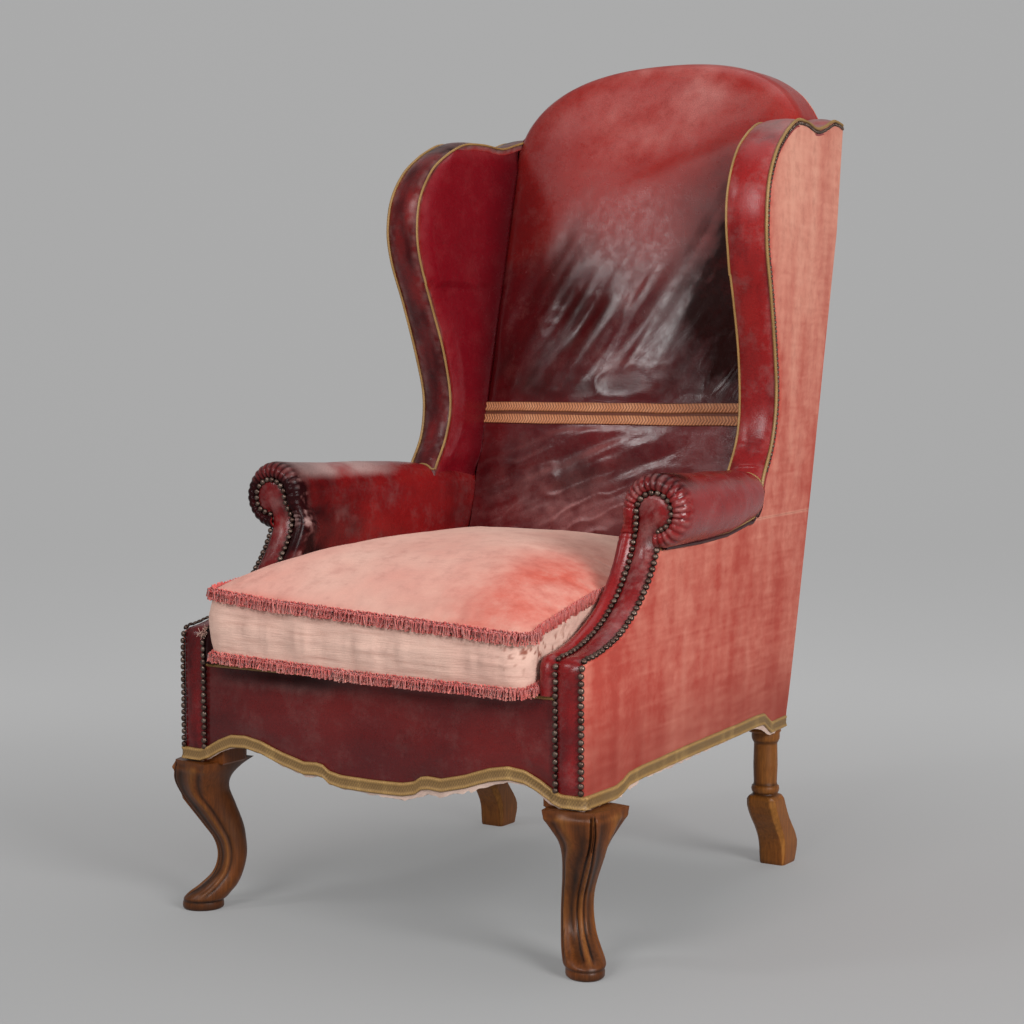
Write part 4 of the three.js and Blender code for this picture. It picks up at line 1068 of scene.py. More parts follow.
        # Painted shade in the troughs of the pleats and under the outer side of the roll.
        dark += (1 - valley) ** 2 * strength * 0.6 + 0.3 * smooth((x - 345) / 20) * smooth((555 - z) / 25)
        dark += 0.4 * smooth((y - 90) / 90) + 0.3 * smooth((420 - z) / 40)
        dark += (0.4 if left else 0.0) * smooth((-120 - y) / 70) * (1 - crown) - (0.0 if left else 0.12)
        dark += (0.36 if left else 0.0) * smooth((20 - y) / 130) * (1 - crown)
        dark = dark * (1 + 0.9 * ragged)
        dark = dark + (0.3 if left else 0.0) * smooth((-186 - y) / 24)
        # Painted highlight on the crests of the pleats.
        pale = 0.3 * strength * valley**2 * (0.4 + fine)
        if left:
            # Painted highlight on the crest of the strip beside the nails, which also takes off some of the
            # dark.
            painted_highlight = spot(y, z, (-212, 560), (12, 50)) + spot(y, z, (-232, 480), (12, 50), -30)
            painted_highlight = painted_highlight * np.clip(0.25 + 1.5 * fine, 0, 1) * smooth((300 - x) / 20)
            dark = dark * (1 - np.clip(painted_highlight, 0, 0.8))
            pale = pale + painted_highlight
            pale = pale + 0.4 * spot(y, z, (-120, 540), (24, 20)) * np.clip(fine + 0.1, 0, 1)
            # Painted highlight along the top of the roll.
            ridge = smooth((z - 597) / 16) * smooth((60 - y) / 120) * smooth((y + 236) / 60)
            pale = pale + 0.9 * ridge * np.clip(0.75 + ragged, 0, 1)
        else:
            pale = pale + 0.22 * crown * np.clip(fine, 0, 1)
        wine = 0.3 + 0.4 * ragged - 0.25 * spot(y, z, (-20, 560), (120, 40)) * smooth((x - 320) / 10)
        return stacked(dark, pale, wine)

    def facing_edges(self) -> tuple[Array, Array, Array]:
        """Left edge, round top edge and right edge of the facing."""
        front = self.front_path(218, 576)
        near = smooth((front[:, 1] - 535) / 41)
        left = np.column_stack([
            mix(self.facing_inner, self.lobe[0] - self.lobe_radius, near),
            mix(front[:, 0], self.scroll_front, near), front[:, 1],
        ])
        angle = np.radians(np.linspace(180, -48, 90))
        arc = np.column_stack([
            self.lobe[0] + self.lobe_radius * np.cos(angle), np.full(90, self.scroll_front),
            self.lobe[1] + self.lobe_radius * np.sin(angle),
        ])
        neck = front[front[:, 1] < 543]
        right = np.column_stack([np.full(len(neck), self.facing_outer), neck])
        bend = through([right[-1], (323.6, -216, 549), (328.5, -220.5, 552.5), arc[-1]], 12)
        return left, arc, np.vstack([right, bend[1:]])

    def facing(self) -> Body:
        """Leather strip up the post, ending in a round scroll head."""
        left, arc, right = self.facing_edges()
        rows, cols = 181, 33
        u = np.linspace(0, 1, cols)[None, :]
        t = np.linspace(0, 1, rows)[:, None]
        ruled = mix(even(left, rows)[:, None], even(right, rows)[:, None], u[..., None])
        opening = np.clip((t - 0.9) / 0.1, 0, 1) ** 1.2
        grid = ruled + opening[..., None] * (even(arc, cols) - ruled[-1])[None]
        normal = facing_out(grid, (0, -1, 0.2))
        across = np.clip(1 - np.abs(2 * u - 1) ** 2.1, 0, 1)
        end = np.clip((1 - t) / 0.055, 0, 1)
        dome = across * np.sqrt(np.clip(1 - (1 - end) ** 2, 0, 1))
        head = smooth((grid[..., 2] - 545) / 20)
        p = flip(grid, self.side)
        lump = cloud(p, (30, 60, 60), 163, 2) * 0.8
        crease = creases(p, (40, 60, 22), 167, 2) * 0.9 * smooth((430 - np.abs(grid[..., 2] - 400)) / 60)
        ease = smooth((grid[..., 2] - 228) / 26) * (1 - 0.4 * spot(grid[..., 2], 0, (398, 0), (14, 1)))
        rise = dome * (mix(5.5, 9.5, head) + lump - crease * 0.6) * mix(0.12, 1.0, ease)
        grid = grid + normal * rise[..., None]
        z = grid[..., 2]
        ragged, fine = cloud(p, (24, 30, 44), 173, 4), cloud(p, 8, 179, 3)
        rim = smooth((np.abs(2 * u - 1) - 0.72) / 0.25)
        dark = 0.35 * rim + 0.25 * smooth((ragged - 0.15) / 0.4) * smooth((420 - z) / 60)
        dark += 0.35 * spot(u * 36, z, (26, 372), (12, 30)) + 0.3 * smooth((250 - z) / 30)
        if self.side is Side.LEFT:
            dark = dark + 0.3 + 0.25 * ragged
        pale = 0.22 * np.clip(0.3 + fine, 0, 1) * (1 - rim) * smooth((z - 390) / 60)
        return shell(
            flip(grid, self.side),
            flip(grid - normal * (rise[..., None] + 4), self.side),
            stacked(dark, pale, 0.5 + 0.3 * ragged),
        )

    def nails(self) -> Body:
        """One unbroken row of nails up the inside, round the head and down the outside."""
        left, arc, right = self.facing_edges()
        line = np.vstack([left, arc[1:-1], right[::-1]])
        line = line[line[:, 2] > 236]
        row = even(line, int(length_of(line) / self.nail_pitch))
        ahead = np.gradient(row[:, 1:], axis=0)
        front = self.front_path(230, 576)
        order = np.argsort(front[:, 1], kind="stable")
        slope = np.gradient(front[order], axis=0)
        slope /= np.linalg.norm(slope, axis=1, keepdims=True) + 1e-9
        z = row[:, 2]
        ny = -np.interp(z, front[order][:, 1], slope[:, 1])
        nz = np.interp(z, front[order][:, 1], slope[:, 0])
        level = smooth((z - 548) / 14) * np.ones(len(ahead))
        lean = np.where(row[:, 0] > 305, 0.35, -0.12) * (1 - level)
        out = np.column_stack([lean, mix(ny, -1.0, level), mix(nz, 0.0, level)])
        out /= np.linalg.norm(out, axis=1, keepdims=True)
        spots = flip(row + out * self.nail_lift, self.side)
        return nail_heads(spots, flip(out, self.side), self.nail_radius, 223)


# ---- outside covers


@dataclass
class Outside:
    """Faded velvet stretched over the outside of the chair."""

    form: Carcase
    velvet: Material
    piping: Material
    gilt: Material
    cover: float = 2.5

    def build(self) -> None:
        """Makes the arm covers, the wing covers and the back cover."""
        for side in Side:
            tag = side.name.lower()
            arm = self.arm_cover(side).place(f"velvet_arm_{tag}", self.velvet, Slot.VELVET, 50)
            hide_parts(f"outside_arm_cover_{tag}")
            wing = self.wing_cover(side).place(f"velvet_wing_{tag}", self.velvet, Slot.VELVET, 50)
            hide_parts(f"outside_wing_cover_{tag}")
            self.roll_cord(side).place(f"roll_cord_{tag}", self.piping, Slot.RED_LEATHER)
            self.edge_cord(side).place(f"roll_edge_cord_{tag}", self.gilt, Slot.GILT)
        back = self.back_cover().place("velvet_back", self.velvet, Slot.VELVET, 50)
        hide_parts("outside_back_cover")

    def under_roll(self, y: Array) -> Array:
        """Height of the line where the side cover meets the roll."""
        cx, cz, r = self.form.roll_at(y)
        aside = np.clip(self.form.side_x(y, 545.0) - 3 - cx, 0, 0.9 * r)
        return np.minimum(cz - np.sqrt(r**2 - aside**2) - 1, self.form.cover_seam)

    def arm_cover(self, side: Side) -> Body:
        """Side of the chair below the arm roll and the seam."""
        form, rows, cols = self.form, 97, 117
        front = form.arm_front(218)
        front = even(np.vstack([front[front[:, 1] < 520], [(-214, 527)]]), rows)
        rear_low, rear_high = float(form.rear_y(218)), float(form.rear_y(form.cover_seam))
        y_low = np.linspace(form.seat_front, rear_low - 1, 400)
        low = even(np.column_stack([y_low, form.side_edge(y_low) + 1]), cols)
        y_top = np.linspace(-214, rear_high - 1, 400)
        high = np.column_stack([y_top, self.under_roll(y_top)])
        high[0] = (-214, 527)
        top = even(high, cols)
        back = even(np.array([low[-1], top[-1]]), rows)
        flat = coons(low, top, front, back)
        y, z = flat[..., 0], flat[..., 1]
        p = stacked(300.0 * side.value, y, z)
        ripple = cloud(p, (90, 90, 240), 181, 2) * 1.2
        grid = stacked(form.side_x(y, z) + ripple * 0.6, y, z)
        wrap = []
        for share in (0.0, 0.3, 0.6, 0.85):
            edge = grid[:, 0].copy()
            edge[:, 0] = mix(322.4, edge[:, 0], math.sin(share * math.pi / 2))
            edge[:, 1:] = moved(edge[:, 1:], 4.0 * (1 - math.cos(share * math.pi / 2)))
            wrap.append(edge)
        shifted = moved(grid[:, 0, 1:], 4.0)
        blend = np.clip(1 - np.arange(cols) / 6, 0, 1)[None, :, None]
        grid[..., 1:] = grid[..., 1:] + (shifted - grid[:, 0, 1:])[:, None] * blend
        grid = np.hstack([np.stack(wrap, 1), grid])
        return self.sheet_body(grid, side, (1, 0, 0))

    def sheet_body(self, grid: Array, side: Side, towards: Points) -> Body:
        """Gives a velvet grid its thickness and its fading."""
        normal = facing_out(grid, towards)
        skin = flip(grid, side)
        tone = self.fading(skin)
        return shell(skin, flip(grid - normal * self.cover, side), tone)

    def fading(self, p: Array) -> Array:
        """Dark, pale and coral shares: paler high up, coral where nails kept off the light."""
        y, z = p[..., 1], p[..., 2]
        band = cloud(p, (40, 34, 260), 191, 3)
        blot = cloud(p, (60, 70, 110), 193, 4)
        streak = cloud(p, (20, 15, 120), 197, 2)
        weft = cloud(p, (50, 60, 4.5), 198, 3)
        height = smooth((z - 590) / 430)
        pale = 0.22 + 0.5 * height + 0.22 * band + 0.3 * blot + 0.1 * streak + 0.14 * weft
        pale += 0.5 * spot(z, 0, (self.form.cover_seam, 0), (2.0, 1)) * (y > 90)
        side_line = np.array(self.form.wing_front_outer)
        edge = np.interp(z, side_line[:, 1], side_line[:, 0])
        near_nails = smooth((34 - (y - edge)) / 34) * smooth((z - 600) / 30)
        front = smooth((-330 - y) / 60) * 0.5 + near_nails
        dark = 0.58 * smooth((380 - z) / 150) - 0.2 * blot - 0.15 * band + 0.12 * (1 - height) - 0.12 * weft
        return stacked(dark, pale - 0.5 * near_nails, front * (0.8 + 0.5 * band))

    def wing_cover(self, side: Side) -> Body:
        """Outside of a wing down to the seam."""
        form = self.form
        line = [*form.roll_end[:-1], *form.wing_front_outer]
        flat = form.wing_patch(line, form.wing_top_outer, 0.8, lambda z: float(form.rear_y(z)) - 1, (161, 57))
        y, z = flat[..., 0], flat[..., 1]
        p = stacked(300.0 * side.value, y, z)
        ripple = cloud(p, (80, 60, 200), 199, 2) * 0.7
        from_edge = in_from_front(flat)
        cx, cz, r = form.roll_at(y)
        contact = cx + np.sqrt(np.clip(r**2 - (z - cz) ** 2, 0, None)) - 1.5
        near = smooth(1 - from_edge / 15) * smooth((590 - z) / 12)
        x = form.side_x(y, z) + ripple
        return self.sheet_body(stacked(mix(x, np.minimum(x, contact), near), y, z), side, (1, 0, 0))

    def back_cover(self) -> Body:
        """Whole outside back, up to the arch."""
        form, rows, cols = self.form, 121, 81
        z_side = np.linspace(218, 1143, rows)
        x_side = form.side_x(form.rear_y(z_side), z_side)
        right = np.column_stack([x_side, z_side])
        left = right * np.array([-1, 1])
        arch = form.arch(300)
        top = even(np.vstack([left[-1:], arch, right[-1:]]), cols)
        x_low = np.linspace(-x_side[0], x_side[0], cols)
        bottom = np.column_stack([x_low, np.full(cols, 218.0)])
        flat = coons(bottom, top, left, right)
        x, z = flat[..., 0], flat[..., 1]
        p = stacked(x, 400.0, z)
        hollow = cloud(p, (160, 60, 200), 227, 2) * 1.5
        return self.sheet_body(stacked(x, form.rear_y(z) + hollow, z), Side.RIGHT, (0, 1, 0))

    def corner_line(self, y: Array, end: float, count: int) -> Array:
        """Line in (y, z) under the roll at depths y, then round the rear of the roll to a depth of end."""
        line = np.vstack([np.column_stack([y, self.under_roll(y)]), self.form.roll_end, [(end, 588)]])
        return even(through(line[::6].tolist() + line[-5:].tolist(), 400), count)

    def roll_cord(self, side: Side) -> Body:
        """Dark leather cord in the corner under the arm roll and round its rear end, near black so that it
        paints the shadow in that corner.
        """
        line = self.corner_line(np.linspace(-206, 88, 110), 119.5, 150)
        x = self.form.side_x(line[:, 0], line[:, 1]) + 1.6
        return tube(flip(np.column_stack([x, line[:, 0], line[:, 1] + 0.4]), side), 2.9, 8)

    def edge_cord(self, side: Side) -> Body:
        """Thin gold cord that runs on below the leather one."""
        line = moved(self.corner_line(np.linspace(-150, 88, 90), 120.5, 300), -4.2)
        x = self.form.side_x(line[:, 0], line[:, 1]) + 2.0
        return twisted(flip(np.column_stack([x, line]), side), 1.7, 4.5)


# ---- front rail and braid


@dataclass
class FrontRail:
    """Dark leather across the front, with a gilt braid along its top edge."""

    form: Carcase
    leather: Material
    gilt: Material
    half: float = 286.0
    top: float = 350.0

    def build(self) -> None:
        """Makes the leather and the braid."""
        rail = self.panel().place("front_rail_cover", self.leather, Slot.DARK_LEATHER, 60)
        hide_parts("front_rail_leather")
        x = np.linspace(-self.half + 2, self.half - 2, 300)
        path = np.column_stack([x, np.full(300, self.form.seat_front + 2.0), np.full(300, self.top + 3)])
        twisted(path, 2.4, 5.4).place("rail_top_braid", self.gilt, Slot.GILT)

    def panel(self) -> Body:
        """Leather from the shaped lower edge up over the rail."""
        rows, cols = 49, 181
        x = np.linspace(-self.half, self.half, cols)
        t = np.linspace(0, 1, rows)[:, None]
        z = mix(self.form.front_edge(x)[None] + 2, self.top, t)
        p = stacked(x, -414.0, z)
        edge = smooth((self.top - z) / 10) * smooth((self.half - np.abs(x))[None] / 12)
        edge = edge * smooth((z - self.form.front_edge(x)[None] - 15) / 24)
        puff = 3.5 * edge * np.sin(np.clip((z - 215) / (self.top - 215), 0, 1) * math.pi)
        wave = (cloud(p, (150, 60, 60), 229, 2) * 2.0 + cloud(p, (90, 60, 22), 233, 2) * 0.8) * edge
        y = self.form.seat_front + 1.6 - puff - wave
        face = stacked(p[..., 0], y, z)
        steps = np.linspace(0, math.pi / 2, 9)[1:, None]
        over = np.repeat(face[-1:], 8, 0)
        over[..., 1] += 14 * (1 - np.cos(steps))
        over[..., 2] += 8 * np.sin(steps)
        grid = np.vstack([face, over])
        x, z = grid[..., 0], grid[..., 2]
        ragged, fine = cloud(grid, (90, 60, 50), 239, 4), cloud(grid, 14, 241, 3)
        dark = 0.45 * ragged + 0.55 * spot(x, z, (-150, 344), (190, 14))
        # The last term darkens the left end, away from the side light: painted shade.
        dark += 0.2 * smooth((246 - z) / 20) * (0.6 + ragged) + 0.22 * smooth((-20 - x) / 180)
        pale = 0.3 * spot(x, z, (-150, 332), (110, 9)) * np.clip(0.7 + fine, 0, 1)
        wine = 0.45 + 0.5 * cloud(grid, 120, 251, 2)
        inner = grid + np.array([0, 4.0, -2.0])
        return shell(grid, inner, stacked(dark, pale, wine))


@dataclass
class BaseBraid:
    """Gilt braid along the foot of the covers, with worn lining hanging below it."""

    form: Carcase
    gilt: Material
    lining: Material
    stand: float = 1.0
    corner: float = 5.0
    loose: Points = (
        (0.8, 60, -414, 70, 60), (0.9, 150, -414, 60, 60), (1.0, 282, 190, 60, 34), (0.9, 325, -290, 60, 26),
        (0.8, 290, -414, 26, 60), (0.5, 318, -130, 60, 110), (0.5, -282, 190, 60, 34),
        (0.4, -120, -414, 60, 60),
    )

    def build(self) -> None:
        """Makes the braid and the lining."""
        braid = self.braid().place("foot_braid", self.gilt, Slot.GILT, 60)
        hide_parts("base_braid")
        self.frayed_lining().place("frayed_lining", self.lining, Slot.CUSHION, 60)

    def plan(self, count: int) -> tuple[Array, Array]:
        """Path of the lower edge round three sides, and the way out from it."""
        form, c = self.form, self.corner
        y = np.linspace(float(form.rear_y(217)), form.seat_front + c, 300)
        x_side = form.side_x(y, form.side_edge(y) + form.braid_height)
        left = np.column_stack([-x_side, y, form.side_edge(y)])
        angle = np.linspace(0, math.pi / 2, 12)[1:-1]
        bend = np.column_stack([
            -form.front_half + c - c * np.cos(angle),
            form.seat_front + c - c * np.sin(angle), np.full(len(angle), form.braid_bottom),
        ])
        x = np.linspace(-form.front_half + c, form.front_half - c, 500)
        across = np.column_stack([x, np.full(500, form.seat_front), form.front_edge(x)])
        mirror = np.array([-1, 1, 1])
        path = even(np.vstack([left, bend, across, (bend * mirror)[::-1], (left * mirror)[::-1]]), count)
        ahead = heading(path[:, :2])
        out = np.column_stack([ahead[:, 1], -ahead[:, 0], np.zeros(count)])
        return path, out * (-1.0 if out[count // 2, 1] > 0 else 1.0)

    def braid(self) -> Body:
        """Flat woven middle between two twisted edges."""
        count, rows = 1601, 13
        path, out = self.plan(count)
        run = run_of(path)[:, None]
        v = np.linspace(0, 1, rows)[None]
        edge = np.minimum(np.abs(v - 0.13), np.abs(v - 0.87))
        in_cord = smooth((0.15 - edge) / 0.06)
        twist = np.abs(np.sin(math.pi * (run / 3.6 + v * 3)))
        weave = 0.5 + 0.5 * np.sin(2 * math.pi * run / 4.2) * np.sin(math.pi * v * 6)
        ragged = cloud(path[:, None] + np.zeros((1, rows, 1)), (24, 24, 10), 257, 3)
        near_post = smooth((np.abs(path[:, :1]) - 276) / 8) * smooth((-400 - path[:, 1:2]) / 8)
        height = self.stand + 1.8 * near_post + 1.6 * in_cord * (0.6 + 0.5 * twist)
        height = height + 0.6 * weave * (1 - in_cord) + 0.4 * ragged
        height = height * np.clip(np.minimum(v, 1 - v) * 12, 0.2, 1)
        grid = path[:, None] + out[:, None] * height[..., None]
        tall = self.form.braid_height + 1.0
        wobble = cloud(path, (70, 70, 30), 263, 2)[:, None] * 0.8
        grid[..., 2] = path[:, 2:3] + v * tall - 0.5 + wobble
        bare = smooth((ragged - 0.15) / 0.3)
        dark = (1 - in_cord) * (0.15 + 0.6 * (1 - weave)) + in_cord * (1 - twist) * 0.6
        pale = in_cord * twist * (0.45 + 0.5 * bare) + (0.3 * bare + 0.35 * weave) * (1 - in_cord)
        tone = stacked(dark, pale, 1 - in_cord)
        inner = path[:, None] + np.zeros((1, rows, 1)) - out[:, None] * 0.4
        inner[..., 2] = grid[..., 2]
        return shell(grid, inner, tone)

    def frayed_lining(self) -> Body:
        """Strip of lining that shows below the braid, longer where it has come loose."""
        count, rows = 801, 9
        path, out = self.plan(count)
        loose = patches(path[:, 0], path[:, 1], self.loose)
        ragged = cloud(path, 9, 269, 3)
        drop = 1.4 + 7.0 * np.clip(loose, 0, 1) * (0.75 + 0.5 * ragged) + 0.9 * ragged
        t = np.linspace(0, 1, rows)[None]
        curl = cloud(path, 18, 271, 2)[:, None] * 2.0 * t
        grid = path[:, None] + out[:, None] * (-0.5 + curl - 1.5 * t)[..., None]
        grid[..., 2] = path[:, 2:3] + mix(5.0, -1.0, t) * (1 - t) - drop[:, None] * t
        shade = 0.35 + 0.4 * ragged[:, None]
        tone = stacked(shade * 0.5, 0.5, t)
        return shell(grid, grid - out[:, None] * 0.7, tone)


# ---- loose cushion


@dataclass
class Cushion:
    """Loose box cushion: crowned top, bulging sides and a drooping right front corner."""

    velvet: Material
    front: float = -440.0
    back: float = 148.0
    crown: float = 533.0
    low: float = 366.0
    around: int = 720
    corner: float = 24.0
    middle_y: float = -120.0
    width_line: Points = ((-440, 255), (-300, 255), (-100, 250), (40, 246), (148, 238))

    def build(self) -> None:
        """Makes the cushion, without its fringes."""
        piece = self.form().place("loose_cushion", self.velvet, Slot.CUSHION, 70)
        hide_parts("seat_cushion")

    def half_at(self, y: Array) -> Array:
        """Half width of the cushion at a depth."""
        return reading(self.width_line, y)

    def outline(self) -> tuple[Array, Array]:
        """Plan of the seams in (x, y), starting in the middle of the back, and the way out from it."""
        c, front, back = self.corner, self.front, self.back
        y = np.linspace(back - c, front + c, 200)
        right = np.column_stack([self.half_at(y), y])
        angle = np.linspace(0, math.pi / 2, 24)[1:-1]
        front_bend = np.column_stack([
            self.half_at(front) - c + c * np.cos(angle), front + c - c * np.sin(angle),
        ])
        back_bend = np.column_stack([
            self.half_at(back) - c + c * np.sin(angle), back - c + c * np.cos(angle),
        ])
        start = np.array([(0.0, back), (self.half_at(back) - c, back)])
        end = np.array([(self.half_at(front) - c, front), (0.0, front)])
        half = np.vstack([start, back_bend, right, front_bend, end])
        whole = np.vstack([half, (half * (-1, 1))[-2::-1]])
        path = even(whole, self.around + 1)[:-1]
        ahead = np.roll(path, -1, 0) - np.roll(path, 1, 0)
        ahead /= np.linalg.norm(ahead, axis=1, keepdims=True)
        return path, np.column_stack([-ahead[:, 1], ahead[:, 0]])

    def seam_top(self, x: Array, y: Array) -> Array:
        """Height of the top seam, low in the middle of the front and at the right front corner."""
        across = np.interp(x, (-262, -150, 0, 120, 262), (463, 453, 445, 440, 432))
        right = np.interp(y, (-442, -414, -365, -315, -271, -180), (432, 439, 449, 461, 470, 480))
        left = np.interp(y, (-442, -400, -330, -250, -180), (463, 466, 472, 478, 482))
        side = np.where(x > 0, right, left)
        return mix(across, side, smooth((y - self.front) / 40))

    def seam_low(self, x: Array, y: Array) -> Array:
        """Height of the bottom seam, which sags over the front rail."""
        front = np.interp(x, (-262, 0, 262), (369, 360, 357))
        return mix(front, self.low, smooth((y - self.front) / 40))

    def seams(self) -> tuple[Array, Array, Array]:
        """Top seam and bottom seam in space, and the way out from them."""
        path, out = self.outline()
        out = np.where((path * out).sum(1, keepdims=True) < 0, -out, out)
        top = np.column_stack([path, self.seam_top(*path.T)])
        low = np.column_stack([path, self.seam_low(*path.T)])
        return top, low, np.column_stack([out, np.zeros(len(out))])

    def form(self) -> Body:
        """Whole cushion as rings: top from the middle out, sides, then the bottom."""
        top, low, out = self.seams()
        centre = np.array([0.0, self.middle_y])
        run = np.arange(len(top)) * (length_of(np.vstack([top, top[:1]])) / len(top))
        rings, kinds = [], []
        for r in np.r_[np.linspace(0.004, 0.80, 30), np.linspace(0.80, 1.0, 17)[1:]]:
            ring = top.copy()
            ring[:, :2] = centre + (top[:, :2] - centre) * r
            ring[:, 2] = mix(top[:, 2], self.crown, 1 - r**2.5)
            rings.append(ring)
            kinds.append((0, r))
        for t in np.linspace(0, 1, 27)[1:]:
            drawn = 1 - (1 - np.abs(2 * t - 1)) ** 0.6
            ring = mix(top, low, t)
            bulge = 8.5 * (1 - drawn) * mix(0.45, 1.0, smooth((self.front + 40 - top[:, 1]) / 40))
            rings.append(ring + out * bulge[:, None])
            kinds.append((1, t))
        for r in np.linspace(1, 0.01, 6)[1:]:
            ring = low.copy()
            ring[:, :2] = centre + (low[:, :2] - centre) * r
            ring[:, 2] = mix(low[:, 2], self.low - 0.5, smooth((1 - r) / 0.12))
            rings.append(ring)
            kinds.append((2, r))
        grid = np.stack(rings)
        kind = np.array([k for k, _ in kinds])[:, None]
        share = np.array([s for _, s in kinds])[:, None]
        grid = self.soften(grid, kind, share, run, out)
        return loft(grid, self.tone(grid, kind, share))

    def soften(self, grid: Array, kind: Array, share: Array, run: Array, out: Array) -> Array:
        """Adds the puckers at the seams, the dents of the sides and the lumps of the stuffing."""
        along = run[None]
        near_top = np.where(kind == 0, smooth((share - 0.72) / 0.26) * smooth((1.0 - share) / 0.03), 0)
        pucker_at = stacked(along, np.where(kind == 0, share * 260, 0), 0.0)
        pucker = cloud(pucker_at, (26, 70, 10), 281, 3) * 2.0 * near_top
        lump = cloud(grid, (150, 150, 60), 283, 3) * 3.0 * np.where(kind == 0, smooth((1 - share) / 0.2), 0)
        fold = creases(grid, (170, 60, 60), 285, 2) * 1.2 * np.where(kind == 0, smooth((1 - share) / 0.1), 0)
        middle = np.where(kind == 1, np.sin(np.clip(share, 0, 1) * math.pi), 0)
        dent_at = stacked(along, np.where(kind == 1, share * 30, 0), 0.0)
        dent = cloud(dent_at, (34, 60, 10), 287, 3) * 4.6 * middle
        slub = cloud(dent_at, (70, 2.6, 10), 289, 2) * 1.1 * middle
        lift = pucker + lump - fold
        grid = grid + out[None] * (dent + slub)[..., None]
        grid[..., 2] = grid[..., 2] + lift
        return grid

    def tone(self, grid: Array, kind: Array, share: Array) -> Array:
        """Worn dark specks, cream and coral shares of the cushion."""
        x, y, z = grid[..., 0], grid[..., 1], grid[..., 2]
        side = np.where(kind == 1, 1.0, 0.0) * np.ones_like(x)
        blot = cloud(grid, 90, 291, 4)
        specks = smooth((cloud(grid, (4.5, 4.5, 5), 297, 2) - 0.25) / 0.2)
        holes = spot(x, z, (250, 412), (30, 26)) + 0.7 * spot(y, z, (-400, 420), (40, 26)) * (x > 200)
        holes = holes * side * specks
        grime = 0.35 * spot(x, y, (120, -420), (150, 40)) * (1 - side) * (1 + blot)
        lines = cloud(grid, (90, 90, 2.6), 295, 2)
        dark = 0.7 * holes + side * (0.04 + 0.42 * np.clip(lines - 0.1, 0, 1)) + 0.3 * grime
        coral = 1.9 * spot(x, y, (252, -280), (120, 210)) * (0.85 + 0.4 * blot)
        coral += 0.35 * spot(x, y, (150, -400), (150, 60)) * (0.7 + 0.7 * blot)
        coral += 0.35 * smooth((share - 0.95) / 0.05) * (y < -200)
        coral = mix(coral, 0.3 * smooth((share - 0.86) / 0.12), side)
        cream = (0.35 + 0.5 * smooth((y + 300) / 300) + 0.5 * blot) * (1 - side) + side * (0.95 + 0.3 * blot)
        return stacked(dark, cream, coral)


